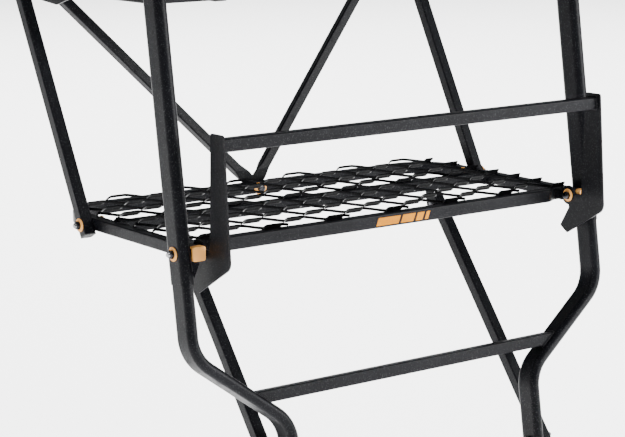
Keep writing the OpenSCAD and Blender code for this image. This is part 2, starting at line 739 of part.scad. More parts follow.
side_rail(-1);  // side_rail_left
side_rail(1);  // side_rail_right
rear_rail();
rear_corner(-1);  // rear_corner_left
rear_corner(1);  // rear_corner_right
front_rail();
mid_rail();
deck_mesh();
rail_caps();
upright(-1);  // upright_left
upright(1);  // upright_right
neck(-1);  // neck_left
neck(1);  // neck_right
rung_upper();
rung_lower();
brace(-1);  // brace_left
brace(1);  // brace_right
brace_tabs();
brace_bolts();
rear_tube(-1);  // rear_tube_left
rear_tube(1);  // rear_tube_right
tube_caps();
v_brace(-1, rear_back + flat_h / 2);  // v_brace_left
v_brace(1, rear_back + 3 * flat_h / 2);  // v_brace_right
v_bolts();
frame_bolts();
frame_nuts();
nylon_washers();
pivot_spacers();
footrest_plate(-1);  // footrest_plate_left
footrest_plate(1);  // footrest_plate_right
footrest_bar();
armrest(-1);  // armrest_left
armrest(1);  // armrest_right
armrest_pad(-1);  // armrest_pad_left
armrest_pad(1);  // armrest_pad_right
armrest_bolts();
hinge_lugs();
shooting_arm(-1);  // shooting_arm_left
shooting_arm(1);  // shooting_arm_right
shooting_bar();
shooting_pad();
shooting_bolts();
rest_bumpers();
seat_bracket(-1);  // seat_bracket_left
seat_bracket(1);  // seat_bracket_right
seat_side(-1);  // seat_side_left
seat_side(1);  // seat_side_right
seat_cross(seat_front + seat_tube / 2);  // seat_front_bar
seat_cross(seat_y - 30);  // seat_rear_bar
seat_cushion();
seat_bolts();
back_bar();
tree_bar();
backrest_pad();
tree_bracket();
tree_bracket_bolts();
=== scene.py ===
"""Looks of the platform head of a ladder tree stand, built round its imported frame.

Lengths are in metres, in the row frame: X to the sitter's right, Y to the trunk, Z up.
"""

import json
import logging
import math
from dataclasses import dataclass, field
from enum import Enum
from typing import ClassVar

import bmesh
import bpy
import numpy as np
from mathutils import Matrix, Vector


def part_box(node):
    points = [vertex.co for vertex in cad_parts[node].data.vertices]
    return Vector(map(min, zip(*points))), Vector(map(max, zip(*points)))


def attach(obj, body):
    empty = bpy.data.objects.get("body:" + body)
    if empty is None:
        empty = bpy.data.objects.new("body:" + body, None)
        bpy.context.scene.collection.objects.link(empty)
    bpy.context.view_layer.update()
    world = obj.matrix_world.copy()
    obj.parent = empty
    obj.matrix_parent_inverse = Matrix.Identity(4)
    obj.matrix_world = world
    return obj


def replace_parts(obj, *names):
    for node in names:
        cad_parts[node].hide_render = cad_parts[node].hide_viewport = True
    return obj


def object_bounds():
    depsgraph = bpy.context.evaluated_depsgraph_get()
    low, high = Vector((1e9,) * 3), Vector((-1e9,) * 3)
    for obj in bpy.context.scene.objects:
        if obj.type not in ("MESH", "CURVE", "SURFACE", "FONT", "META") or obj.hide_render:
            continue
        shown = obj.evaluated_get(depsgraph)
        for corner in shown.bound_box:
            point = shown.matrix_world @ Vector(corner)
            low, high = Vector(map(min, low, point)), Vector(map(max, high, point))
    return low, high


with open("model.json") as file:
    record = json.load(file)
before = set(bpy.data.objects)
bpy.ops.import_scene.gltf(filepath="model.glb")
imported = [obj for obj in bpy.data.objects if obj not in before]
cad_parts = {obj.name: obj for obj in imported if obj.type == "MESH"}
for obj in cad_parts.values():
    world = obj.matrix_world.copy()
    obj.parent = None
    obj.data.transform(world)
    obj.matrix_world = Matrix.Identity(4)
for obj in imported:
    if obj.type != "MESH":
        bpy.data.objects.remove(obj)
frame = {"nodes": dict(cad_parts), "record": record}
CAD_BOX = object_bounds()

log = logging.getLogger("tree_stand")
Array = np.ndarray
Socket = bpy.types.NodeSocket
Colour = tuple[float, float, float, float]

TUBE = 0.0254           # side of the square tube
TUBE_CORNER = 0.003     # its corners
FLAT_END = 0.009        # thickness of the front rail's pressed ends
FRONT_LEAN = math.radians(8.3)     # of the uprights and the ladder
REAR_LEAN = math.radians(27.9)     # of the rear tubes and the backrest


class Body(str, Enum):
    """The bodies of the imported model."""

    FRAME = "frame"
    FOOTREST = "footrest"
    SEAT = "seat"
    SHOOTING_RAIL = "shooting_rail"


class Slot(str, Enum):
    """The material slots of the record."""

    COAT = "black_coat"
    NYLON = "orange_nylon"
    STEEL = "steel_fastener"
    FABRIC = "pad_fabric"
    RUBBER = "black_rubber"


# ---------------------------------------------------------------- shader graphs


class Graph:
    """A node tree whose nodes are added with their settings and inputs in one call."""

    def __init__(self, tree: bpy.types.NodeTree) -> None:
        """Takes over an empty node tree."""
        self.tree = tree

    def add(self, kind: str, inputs: dict | None = None, **settings: object) -> bpy.types.Node:
        """Adds a node.

        Args:
            kind: The node's type, such as "ShaderNodeMath".
            inputs: Input name or number to a constant or to another node's socket.
            **settings: Attributes of the node, such as operation.

        Returns:
            The node.
        """
        node = self.tree.nodes.new(kind)
        for name, value in settings.items():
            setattr(node, name, value)
        for name, value in (inputs or {}).items():
            if isinstance(value, bpy.types.NodeSocket):
                self.tree.links.new(value, node.inputs[name])
            else:
                node.inputs[name].default_value = value
        return node

    def link(self, value: Socket, target: Socket) -> None:
        """Leads one socket into another."""
        self.tree.links.new(value, target)

    def math(self, operation: str, a: Socket | float, b: Socket | float = 0.0) -> Socket:
        """Result of a two-input Math node."""
        return self.add("ShaderNodeMath", {0: a, 1: b}, operation=operation).outputs[0]

    def noise(self, vector: Socket, scale: Socket | float, detail: float = 2.0) -> Socket:
        """Value of a noise texture, about 0 to 1."""
        inputs = {"Vector": vector, "Scale": scale, "Detail": detail}
        return self.add("ShaderNodeTexNoise", inputs).outputs[0]

    def ramp(self, value: Socket, low: float, high: float, out: tuple[float, float] = (0.0, 1.0)) -> Socket:
        """Value spread from low..high to the out range, smoothly and clamped."""
        inputs = {"Value": value, "From Min": low, "From Max": high, "To Min": out[0], "To Max": out[1]}
        node = self.add("ShaderNodeMapRange", inputs, interpolation_type="SMOOTHSTEP")
        return node.outputs[0]

    def blend(self, share: Socket, a: tuple | Socket, b: tuple | Socket) -> Socket:
        """Colour that goes from a to b with share."""
        return self.add("ShaderNodeMix", {0: share, 6: a, 7: b}, data_type="RGBA").outputs[2]

    def place(self, group: bpy.types.NodeTree, inputs: dict) -> bpy.types.bpy_prop_collection:
        """Outputs of a group that is added with its inputs."""
        return self.add("ShaderNodeGroup", inputs, node_tree=group).outputs


def new_group(name: str, inputs: dict[str, float | None], outputs: list[str]) -> tuple[Graph, dict, dict]:
    """Starts a shader node group.

    Args:
        name: The group's name.
        inputs: Input names to default values, with None for a vector.
        outputs: Names of the value outputs.

    Returns:
        The group's graph, its input sockets by name, and its output node's sockets by name.
    """
    tree = bpy.data.node_groups.new(name, "ShaderNodeTree")
    for label, value in inputs.items():
        kind = "NodeSocketVector" if value is None else "NodeSocketFloat"
        socket = tree.interface.new_socket(name=label, in_out="INPUT", socket_type=kind)
        if value is not None:
            socket.default_value = value
    for label in outputs:
        tree.interface.new_socket(name=label, in_out="OUTPUT", socket_type="NodeSocketFloat")
    graph = Graph(tree)
    return graph, graph.add("NodeGroupInput").outputs, graph.add("NodeGroupOutput").inputs


def coat_grain() -> bpy.types.NodeTree:
    """Group for sprayed and moulded surfaces: fine pimples, sparse speckles and slow clouds.

    Returns:
        The group, with outputs Pimple, Speckle, Cloud and Rub, each 0 to 1.
    """
    name = "coat_grain"
    if name in bpy.data.node_groups:
        return bpy.data.node_groups[name]
    graph, given, out = new_group(
        name, {"Vector": None, "Pimple Scale": 700.0, "Speckle Scale": 420.0, "Cloud Scale": 9.0},
        ["Pimple", "Speckle", "Cloud", "Rub"])
    pimple = graph.noise(given["Vector"], given["Pimple Scale"], 3.0)
    speckle = graph.noise(given["Vector"], given["Speckle Scale"], 1.0)
    cloud = graph.noise(given["Vector"], given["Cloud Scale"], 3.0)
    rub = graph.noise(given["Vector"], graph.math("MULTIPLY", given["Cloud Scale"], 5.0), 6.0)
    graph.link(pimple, out["Pimple"])
    graph.link(graph.ramp(speckle, 0.56, 0.74), out["Speckle"])
    graph.link(graph.ramp(cloud, 0.3, 0.7), out["Cloud"])
    graph.link(graph.ramp(rub, 0.52, 0.72), out["Rub"])
    return graph.tree


def plain_weave() -> bpy.types.NodeTree:
    """Group for woven cloth, from a vector in metres.

    The height of a warp thread is |sin| across it, pressed down where a weft thread crosses over,
    and the weft is the same turned a quarter. Crossings alternate like a chequerboard.

    Returns:
        The group, with outputs Height and the colour share (random slub tone times painted shade between
        threads), each 0 to 1.
    """
    name = "plain_weave"
    if name in bpy.data.node_groups:
        return bpy.data.node_groups[name]
    graph, given, out = new_group(name, {"Vector": None, "Threads": 800.0}, ["Height", "Slub Tone and Painted Shade"])
    split = graph.add("ShaderNodeSeparateXYZ", {0: given["Vector"]}).outputs
    u = graph.math("MULTIPLY", split[0], given["Threads"])
    v = graph.math("MULTIPLY", split[1], given["Threads"])
    warp = graph.math("ABSOLUTE", graph.math("SINE", graph.math("MULTIPLY", u, math.pi)))
    weft = graph.math("ABSOLUTE", graph.math("SINE", graph.math("MULTIPLY", v, math.pi)))
    cells = graph.math("ADD", graph.math("FLOOR", u), graph.math("FLOOR", v))
    over = graph.math("PINGPONG", cells, 1.0)
    under = graph.math("SUBTRACT", 1.0, over)
    height = graph.math("ADD", graph.math("MULTIPLY", warp, over), graph.math("MULTIPLY", weft, under))
    slub = graph.noise(given["Vector"], 160.0, 2.0)
    # Random slub tone times painted shade: where the threads dip, between them, the colour darkens.
    shade = graph.math("MULTIPLY", graph.ramp(slub, 0.3, 0.7, (0.55, 1.0)), graph.ramp(height, 0.2, 0.9))
    graph.link(height, out["Height"])
    graph.link(shade, out["Slub Tone and Painted Shade"])
    return graph.tree


@dataclass(frozen=True)
class Finish:
    """What every finish has: a name, and a material that is made from it once."""

    name: str

    def material(self) -> bpy.types.Material:
        """The finish's material, made at the first call."""
        found = bpy.data.materials.get(self.name)
        if found:
            return found
        made = bpy.data.materials.new(self.name)
        made.use_nodes = True
        made.node_tree.nodes.clear()
        graph = Graph(made.node_tree)
        shader = graph.add("ShaderNodeBsdfPrincipled")
        graph.add("ShaderNodeOutputMaterial", {"Surface": shader.outputs[0]})
        self.wire(graph, shader)
        return made

    def wire(self, graph: Graph, shader: bpy.types.Node) -> None:
        """Sets the shader's inputs."""
        raise NotImplementedError

    @staticmethod
    def bump(graph: Graph, shader: bpy.types.Node, height: Socket, strength: float, depth: float) -> None:
        """Leads a height into the shader's normal.

        Args:
            graph: The material's graph.
            shader: The shader.
            height: The height, 0 to 1.
            strength: Share of the bump that shows.
            depth: What a height of 1 stands for, in metres.
        """
        node = graph.add("ShaderNodeBump", {"Height": height, "Strength": strength, "Distance": depth})
        graph.link(node.outputs[0], shader.inputs["Normal"])


@dataclass(frozen=True)
class Coat(Finish):
    """Sprayed or moulded surface: powder coat, nylon, rubber and the printed mark."""

    low: Colour = (0.0022, 0.0023, 0.0034, 1)
    high: Colour = (0.0046, 0.0048, 0.0064, 1)
    speck: Colour = (0.04, 0.041, 0.043, 1)
    speck_share: float = 0.6
    rough: tuple[float, float] = (0.38, 0.5)
    pimple_scale: float = 650.0
    relief: float = 0.22
    depth: float = 0.0003
    specular: float = 0.08

    def wire(self, graph: Graph, shader: bpy.types.Node) -> None:
        """Cloudy colour with fine light specks, cloudy gloss and a pimpled relief."""
        where = graph.add("ShaderNodeTexCoord").outputs["Object"]
        grain = graph.place(coat_grain(), {"Vector": where, "Pimple Scale": self.pimple_scale})
        base = graph.blend(grain["Cloud"], self.low, self.high)
        share = graph.math("MULTIPLY", grain["Speckle"], self.speck_share)
        colour = graph.blend(share, base, self.speck)
        rough = graph.ramp(grain["Rub"], 0.0, 1.0, self.rough)
        graph.link(colour, shader.inputs["Base Color"])
        graph.link(rough, shader.inputs["Roughness"])
        shader.inputs["Specular IOR Level"].default_value = self.specular
        self.bump(graph, shader, grain["Pimple"], self.relief, self.depth)


@dataclass(frozen=True)
class Plated(Finish):
    """Plated steel of the fasteners, with turned marks and dull patches."""

    bright: Colour
    dull: Colour
    rough: tuple[float, float] = (0.26, 0.46)
    pimple_scale: float = 1500.0
    patch_scale: float = 60.0
    relief: float = 0.2
    depth: float = 0.0002

    def wire(self, graph: Graph, shader: bpy.types.Node) -> None:
        """Metal that goes from bright to dull in patches, with a fine scratched relief."""
        where = graph.add("ShaderNodeTexCoord").outputs["Object"]
        values = {"Vector": where, "Pimple Scale": self.pimple_scale, "Cloud Scale": self.patch_scale}
        grain = graph.place(coat_grain(), values)
        colour = graph.blend(grain["Cloud"], self.bright, self.dull)
        graph.link(colour, shader.inputs["Base Color"])
        graph.link(graph.ramp(grain["Rub"], 0.0, 1.0, self.rough), shader.inputs["Roughness"])
        shader.inputs["Metallic"].default_value = 1.0
        self.bump(graph, shader, grain["Pimple"], self.relief, self.depth)


@dataclass(frozen=True)
class Woven(Finish):
    """Woven polyester of the pads, laid on the piece's own UV map in metres."""

    # Colour where the threads dip: painted shade in the valleys between them.
    valley_shade: Colour = (0.006, 0.0062, 0.007, 1)
    crown: Colour = (0.04, 0.041, 0.045, 1)
    threads: float = 650.0
    rough: float = 0.82
    specular: float = 0.3
    sheen: float = 0.35
    sheen_rough: float = 0.4
    relief: float = 0.6
    depth: float = 0.0005

    def wire(self, graph: Graph, shader: bpy.types.Node) -> None:
        """Thread-by-thread colour with painted shade between threads, a relief and a faint sheen."""
        where = graph.add("ShaderNodeUVMap", uv_map="cloth").outputs[0]
        weave = graph.place(plain_weave(), {"Vector": where, "Threads": self.threads})
        # Painted shade: where the threads dip the colour goes to the darker valley colour.
        colour = graph.blend(weave["Slub Tone and Painted Shade"], self.valley_shade, self.crown)
        graph.link(colour, shader.inputs["Base Color"])
        shader.inputs["Roughness"].default_value = self.rough
        shader.inputs["Specular IOR Level"].default_value = self.specular
        shader.inputs["Sheen Weight"].default_value = self.sheen
        shader.inputs["Sheen Roughness"].default_value = self.sheen_rough
        self.bump(graph, shader, weave["Height"], self.relief, self.depth)


BLACK_COAT = Coat("black_powder_coat")
# Darker copy of the black powder coat for the deck mesh: painted shade on the strands. The strands carry
# the same coat as the rest of the frame.
SHADED_MESH_COAT = Coat(
    "black_coat_with_painted_shade_on_mesh", low=(0.001, 0.001, 0.0013, 1), high=(0.002, 0.0021, 0.0026, 1), specular=0.035,
    speck_share=0.3)
WELD_COAT = Coat("coated_weld", high=(0.014, 0.0145, 0.016, 1), rough=(0.3, 0.42), pimple_scale=400.0)
ORANGE_NYLON = Coat(
    "orange_nylon", low=(0.52, 0.125, 0.0, 1), high=(0.6, 0.16, 0.0, 1), speck=(0.66, 0.2, 0.0, 1),
    speck_share=0.15, specular=0.06, rough=(0.34, 0.44), relief=0.2, depth=0.0002)
ORANGE_PRINT = Coat(
    "orange_print", low=(0.54, 0.19, 0.0, 1), high=(0.62, 0.23, 0.0, 1), speck=(0.3, 0.1, 0.0, 1),
    speck_share=0.3, rough=(0.42, 0.55), relief=0.3, depth=0.0003)
BLACK_RUBBER = Coat(
    "black_rubber", low=(0.009, 0.009, 0.01, 1), high=(0.016, 0.016, 0.017, 1), speck=(0.05, 0.05, 0.05, 1),
    speck_share=0.3, rough=(0.55, 0.72), relief=0.2, depth=0.0003)
DARK_STEEL = Plated("black_oxide_steel", bright=(0.055, 0.055, 0.06, 1), dull=(0.018, 0.018, 0.02, 1))
BRIGHT_STEEL = Plated("bright_plated_steel", bright=(0.42, 0.42, 0.43, 1), dull=(0.16, 0.16, 0.165, 1))
PAD_CLOTH = Woven("pad_cloth")
PIPING_CLOTH = Woven(
    "piping_cloth", valley_shade=(0.004, 0.004, 0.005, 1), crown=(0.022, 0.022, 0.024, 1), threads=900.0)
WEBBING = Woven(
    "strap_webbing", valley_shade=(0.003, 0.003, 0.004, 1), crown=(0.025, 0.025, 0.028, 1), threads=420.0)


# ---------------------------------------------------------------- meshes


@dataclass
class Shell:
    """Points and faces of one piece, gathered patch by patch."""

    points: list[Array] = field(default_factory=list)
    faces: list[Array] = field(default_factory=list)
    uvs: list[Array] = field(default_factory=list)
    count: int = 0

    def grid(self, p: Array, wrap: tuple[bool, bool] = (False, False), uv: Array | None = None) -> "Shell":
        """Adds a surface given on a grid of rows and columns.

        Args:
            p: Points, rows x columns x 3.
            wrap: Whether the last row joins the first, and the last column the first.
            uv: Texture coordinates of the points, rows x columns x 2.

        Returns:
            The shell.
        """
        rows, cols = p.shape[:2]
        i, j = np.meshgrid(np.arange(rows - (not wrap[0])), np.arange(cols - (not wrap[1])), indexing="ij")
        nxt_i, nxt_j = (i + 1) % rows, (j + 1) % cols
        quads = np.stack([i * cols + j, nxt_i * cols + j, nxt_i * cols + nxt_j, i * cols + nxt_j], -1)
        self.points.append(p.reshape(-1, 3))
        self.uvs.append(np.zeros((rows * cols, 2)) if uv is None else uv.reshape(-1, 2))
        self.faces.append(quads.reshape(-1, 4) + self.count)
        self.count += rows * cols
        return self

    def cap(self, ring: Array) -> "Shell":
        """Closes a ring of points, n x 3, with one face of its own."""
        self.points.append(ring)
        self.uvs.append(np.zeros((len(ring), 2)))
        self.faces.append(np.arange(len(ring))[None] + self.count)
        self.count += len(ring)
        return self

    def build(self, name: str, body: Body, slot: Slot, finish: Finish,
              sharp: float = 35.0) -> bpy.types.Object:
        """Makes the object, with its faces outwards, and lets it ride.

        Args:
            name: The piece's name.
            body: The body that it moves with.
            slot: The record's slot of the piece; not used.
            finish: Its finish.
            sharp: Edges that turn by more degrees than this stay sharp.

        Returns:
            The object.
        """
        mesh = bpy.data.meshes.new(name)
        points = np.concatenate(self.points)
        mesh.vertices.add(len(points))
        mesh.vertices.foreach_set("co", points.astype(np.float32).ravel())
        sizes = np.concatenate([np.full(len(f), f.shape[1]) for f in self.faces])
        corners = np.concatenate([f.ravel() for f in self.faces])
        mesh.loops.add(len(corners))
        mesh.loops.foreach_set("vertex_index", corners.astype(np.int32))
        mesh.polygons.add(len(sizes))
        mesh.polygons.foreach_set("loop_start", (np.cumsum(sizes) - sizes).astype(np.int32))
        mesh.update(calc_edges=True)
        layer = mesh.uv_layers.new(name="cloth")
        layer.data.foreach_set("uv", np.concatenate(self.uvs)[corners].astype(np.float32).ravel())
        close_and_turn_out(mesh)
        mesh.polygons.foreach_set("use_smooth", np.ones(len(mesh.polygons), bool))
        mesh.set_sharp_from_angle(angle=math.radians(sharp))
        return adopt(bpy.data.objects.new(name, mesh), body, finish)


def close_and_turn_out(mesh: bpy.types.Mesh, gap: float = 2e-6) -> None:
    """Merges points that lie together and turns every face outwards.

    Args:
        mesh: The mesh, changed in place.
        gap: Distance below which points are one.
    """
    work = bmesh.new()
    work.from_mesh(mesh)
    bmesh.ops.remove_doubles(work, verts=work.verts, dist=gap)
    bmesh.ops.recalc_face_normals(work, faces=work.faces)
    work.to_mesh(mesh)
    work.free()


def adopt(piece: bpy.types.Object, body: Body, finish: Finish) -> bpy.types.Object:
    """Links a finished object, dresses it and lets it ride on its body."""
    bpy.context.scene.collection.objects.link(piece)
    piece.data.materials.clear()
    piece.data.materials.append(finish.material())
    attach(piece, body.value)
    log.info("%s: %d faces, rides on %s", piece.name, len(piece.data.polygons), body.value)
    return piece


def coordinates(mesh: bpy.types.Mesh) -> Array:
    """Points of a mesh, n x 3."""
    co = np.zeros(len(mesh.vertices) * 3, np.float32)
    mesh.vertices.foreach_get("co", co)
    return co.reshape(-1, 3).astype(float)


def box_of(node: str) -> tuple[Array, Array]:
    """Lowest and highest corner of a CAD node."""
    low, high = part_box(node)
    return np.array(low), np.array(high)


def directions(path: Array, closed: bool = True) -> Array:
    """Unit vectors along a line of points, n x 2 or n x 3."""
    along = np.roll(path, -1, 0) - np.roll(path, 1, 0) if closed else np.gradient(path, axis=0)
    return along / np.linalg.norm(along, axis=1)[:, None]


def circle(r: float, steps: int = 10) -> Array:
    """Outline, n x 2, of a circle."""
    a = np.linspace(0, 2 * np.pi, steps, endpoint=False)
    return r * np.stack([np.cos(a), np.sin(a)], -1)


def turned(axis: Vector | Array) -> Array:
    """Rotation matrix, 3 x 3, whose third column is the given axis."""
    return np.array(Vector(axis).normalized().to_track_quat("Z", "Y").to_matrix())


def placed(p: Array, origin: Array, turn: Array) -> Array:
    """Points turned by a 3 x 3 matrix and moved to an origin."""
    return p @ turn.T + origin


def revolve(profile: Array, steps: int = 48) -> Array:
    """Surface of a profile turned about Z: point (r cos a, r sin a, z) for each (r, z) and each angle a."""
    a = np.linspace(0, 2 * np.pi, steps, endpoint=False)
    r, z = profile[:, 0][:, None], profile[:, 1][:, None]
    return np.stack([r * np.cos(a), r * np.sin(a), z + 0 * a], -1)


def swept(path: Array, section: Array, side: Array, up: Array) -> Array:
    """Surface of a section carried along a path: path point + s_x times side + s_y times up.

    Args:
        path: Points of the path, n x 3.
        section: Outline of the section, m x 2, or n x m x 2 where it changes along the path.
        side: Direction of the section's first axis, 3 or n x 3.
        up: Direction of its second axis, 3 or n x 3.

    Returns:
        Points, n x m x 3.
    """
    section = np.broadcast_to(section, (len(path), *section.shape[-2:]))
    side = np.broadcast_to(side, path.shape)[:, None]
    up = np.broadcast_to(up, path.shape)[:, None]
    return path[:, None] + section[..., :1] * side + section[..., 1:] * up


def soft_rect(w: float, h: float, r: float, per_corner: int = 6) -> Array:
    """Outline, n x 2, of a rectangle with round corners, anticlockwise from its lower right one."""
    a = np.linspace(0, np.pi / 2, per_corner)
    arcs = [np.stack([np.cos(a + t), np.sin(a + t)], -1) * r + (sx * (w / 2 - r), sy * (h / 2 - r))
            for t, sx, sy in ((-np.pi / 2, 1, -1), (0, 1, 1), (np.pi / 2, -1, 1), (np.pi, -1, -1))]
    return np.concatenate(arcs)


def evenly(loop: Array, spacing: float, closed: bool = True) -> Array:
    """Points at equal steps along a line of points, about spacing apart."""
    line = np.concatenate([loop, loop[:1]]) if closed else loop
    run = np.concatenate([[0], np.cumsum(np.linalg.norm(np.diff(line, axis=0), axis=1))])
    n = max(8, int(round(run[-1] / spacing)))
    s = np.linspace(0, run[-1], n, endpoint=not closed)
    return np.stack([np.interp(s, run, line[:, k]) for k in range(line.shape[1])], -1)


def solids_of(node: str) -> list[Array]:
    """Corner points of each separate solid in a CAD node.

    Points that share a face take the lowest number among them, again and again, until each solid
    has one number.

    Args:
        node: The node's name.

    Returns:
        One array of points for each solid, in order of X.
    """
    mesh = frame["nodes"][node].data
    mesh.calc_loop_triangles()
    tri = np.zeros(len(mesh.loop_triangles) * 3, np.int32)
    mesh.loop_triangles.foreach_get("vertices", tri)
    points, same = np.unique(np.round(coordinates(mesh), 6), axis=0, return_inverse=True)
    tri = same.reshape(-1)[tri].reshape(-1, 3)
    label = np.arange(len(points))
    while True:
        low = label[tri].min(axis=1)
        new = label.copy()
        for k in range(3):
            np.minimum.at(new, tri[:, k], low)
        new = new[new]
        if (new == label).all():
            break
        label = new
    return sorted((points[label == k] for k in np.unique(label)), key=lambda p: p[:, 0].mean())


# ---------------------------------------------------------------- fasteners


@dataclass
class Threaded:
    """Hexagon bolt with its nut, measured on a CAD solid and made again in full."""

    origin: Array
    axis: Array
    shank_r: float
    hex_r: float
    head: tuple[float, float]
    nut: tuple[float, float]
    tip: float
    pitch_share: ClassVar[float] = 0.3
    steps: ClassVar[int] = 72
    reach: ClassVar[float] = 0.03
    jam: ClassVar[tuple[float, float]] = (0.0006, 0.003)

    @classmethod
    def measured(cls, solid: Array, nuts: list[Array]) -> "Threaded":
        """Reads a bolt's line and lengths from its solid.

        The line is the direction in which the points spread most. What stands further out than
        the shank is a hexagon: the one at an end is the head, and the other the nut. A bolt with
        no nut of its own within reach of its tip gets a thin jam nut.

        Args:
            solid: The bolt's points.
            nuts: Points of nuts that are solids of their own.

        Returns:
            The bolt, with its line running from the head's outer face.
        """
        centre = solid.mean(0)
        axis = np.linalg.svd(solid - centre, full_matrices=False)[2][0]
        t = (solid - centre) @ axis
        r = np.linalg.norm(solid - centre - t[:, None] * axis, axis=1)
        shank = np.median(r[r < 0.75 * r.max()])
        out = r > 1.4 * shank
        if out[t > t.max() - 1e-4].any():
            axis, t = -axis, -t
        start = t.min()
        levels = np.unique(np.round(t[out] - start, 5))
        length = t.max() - start
        if len(levels) < 4:
            tip = centre + t.max() * axis
            own = min(nuts, key=lambda p: np.linalg.norm(p.mean(0) - tip))
            nut = (own - centre) @ axis - start
            if np.linalg.norm(own.mean(0) - tip) > cls.reach:
                nut = length - np.array(cls.jam)
            levels = np.array([levels[0], levels[-1], nut.min(), nut.max()])
        return cls(centre + start * axis, axis, float(shank), float(r.max()), (0.0, float(levels[1])),
                   (float(levels[-2]), float(levels[-1])), float(length))

    def around(self) -> Array:
        """Angles round the bolt's line."""
        return np.linspace(0, 2 * np.pi, self.steps, endpoint=False)

    def hexagon(self, ends: tuple[float, float], chamfers: tuple[bool, bool]) -> Array:
        """Side of a chamfered hexagon on a grid of heights and angles.

        The radius is the flat's distance over the cosine of the angle from the middle of the
        nearest flat, cut by a cone of 30 degrees that starts at 0.95 of that distance.

        Args:
            ends: Heights of its two ends.
            chamfers: Whether each end is chamfered.

        Returns:
            Points on the bolt's own axes, rows x steps x 3.
        """
        flat = self.hex_r * math.cos(math.pi / 6)
        a = self.around()
        rim = flat / np.cos(np.mod(a, np.pi / 3) - np.pi / 6)
        length = ends[1] - ends[0]
        h = length * np.array([0, 0.03, 0.07, 0.12, 0.18, 0.5, 0.82, 0.88, 0.93, 0.97, 1])
        cone = np.full(len(h), np.inf)
        if chamfers[0]:
            cone = np.minimum(cone, 0.95 * flat + h * math.sqrt(3))
        if chamfers[1]:
            cone = np.minimum(cone, 0.95 * flat + (length - h) * math.sqrt(3))
        r = np.minimum(rim[None], cone[:, None])
        return np.stack([r * np.cos(a), r * np.sin(a), (ends[0] + h)[:, None] + 0 * a], -1)

    def thread(self, z0: float, z1: float) -> Array:
        """Threaded shank: the radius drops by a triangle wave of height / pitch - angle / turn."""
        pitch = self.pitch_share * self.shank_r
        z = np.linspace(z0, z1, max(6, int((z1 - z0) / pitch * 8)))[:, None]
        a = self.around()[None]
        wave = np.abs(np.mod(z / pitch - a / (2 * np.pi), 1.0) - 0.5) * 2
        fade = np.clip((z1 - z) / pitch, 0, 1)
        r = self.shank_r * (1 - 0.13 * wave) * (0.8 + 0.2 * fade)
        return np.stack([r * np.cos(a), r * np.sin(a), z + 0 * a], -1)

    def add_bolt(self, heads: Shell, screws: Shell) -> None:
        """Adds the head to one shell, and the plain shank with the threaded end to another."""
        turn = turned(self.axis)
        for shell, patch in ((heads, self.hexagon(self.head, (True, False))), (screws, self.screw())):
            patch = placed(patch, self.origin, turn)
            shell.grid(patch, (False, True)).cap(patch[0]).cap(patch[-1])

    def screw(self) -> Array:
        """Shank and thread as one surface, from under the head to the tip."""
        ends = self.head[1] * 0.8, self.nut[0] - 0.001
        plain = revolve(np.array([[self.shank_r, z] for z in ends]), self.steps)
        return np.concatenate([plain, self.thread(self.nut[0], self.tip)])

    def add_nut(self, shell: Shell) -> None:
        """Adds the nut, whose outer end is a round collar over a locking ring."""
        z0, z1 = self.nut
        flat = self.hex_r * math.cos(math.pi / 6)
        collar = z0 + 0.72 * (z1 - z0)
        hole = 0.9 * self.shank_r
        body = self.hexagon((z0, collar), (True, True))
        lip = revolve(np.array([
            [0.9 * flat, collar], [0.9 * flat, z1 - 0.0006], [0.84 * flat, z1],
            [1.25 * self.shank_r, z1], [hole, z1 - 0.0008], [hole, z0]]), self.steps)
        skin = np.concatenate([body, lip, body[:1]])
        shell.grid(placed(skin, self.origin, turned(self.axis)), (False, True))


@dataclass
class Fasteners:
    """All bolts, nuts and washers."""

    bolt_nodes: tuple[str, ...] = (
        "frame_bolts", "v_bolts", "brace_bolts", "armrest_bolts", "shooting_bolts", "seat_bolts",
        "tree_bracket_bolts")
    washer_edge: float = 0.0007

    def build(self) -> None:
        """Makes the heads, the screws and the nuts of each node, and the nylon washers."""
        nuts = solids_of("frame_nuts")
        for node in self.bolt_nodes:
            heads, screws, locknuts, rings = Shell(), Shell(), Shell(), Shell()
            for solid in solids_of(node):
                if self.is_ring(solid):
                    self.add_ring(rings, solid)
                    continue
                bolt = Threaded.measured(solid, nuts)
                bolt.add_bolt(heads, screws)
                bolt.add_nut(locknuts)
            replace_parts(heads.build(f"{node}_heads", Body.FRAME, Slot.STEEL, DARK_STEEL), node)
            screws.build(f"{node}_screws", Body.FRAME, Slot.STEEL, BRIGHT_STEEL)
            piece = locknuts.build(f"{node}_nuts", Body.FRAME, Slot.STEEL, DARK_STEEL)
            if node == "frame_bolts":
                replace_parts(piece, "frame_nuts")
            if rings.count:
                rings.build(f"{node}_spacers", Body.FRAME, Slot.STEEL, DARK_STEEL)
        washers = Shell()
        for solid in solids_of("nylon_washers"):
            self.add_ring(washers, solid)
        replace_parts(washers.build("washers_made", Body.FRAME, Slot.NYLON, ORANGE_NYLON), "nylon_washers")

    @staticmethod
    def is_ring(solid: Array) -> bool:
        """Whether a solid is a plain ring across X: wider than it is long."""
        size = np.ptp(solid, axis=0)
        return bool(size[0] < 0.4 * size[1] and abs(size[1] - size[2]) < 1e-4)

    def add_ring(self, shell: Shell, solid: Array) -> None:
        """Adds a washer with soft edges and a shallow groove near its rim, on its solid's place."""
        low, high = solid.min(0), solid.max(0)
        k = int(np.argmin(high - low))
        axis = np.eye(3)[k]
        centre = (low + high) / 2
        radial = np.linalg.norm(np.delete(solid - centre, k, axis=1), axis=1)
        inner, outer, h, e = radial.min(), radial.max(), (high - low)[k] / 2, self.washer_edge
        face = np.array([
            [inner, h - e], [inner + e, h], [0.8 * outer, h], [0.83 * outer, h - e / 2],
            [0.87 * outer, h - e / 2], [0.9 * outer, h], [outer - e, h],
            [outer - 0.3 * e, h - 0.3 * e], [outer, h - e]])
        loop = np.concatenate([face, face[::-1] * (1, -1)])
        shell.grid(placed(revolve(loop), centre, turned(axis)), (True, True))


# ---------------------------------------------------------------- deck


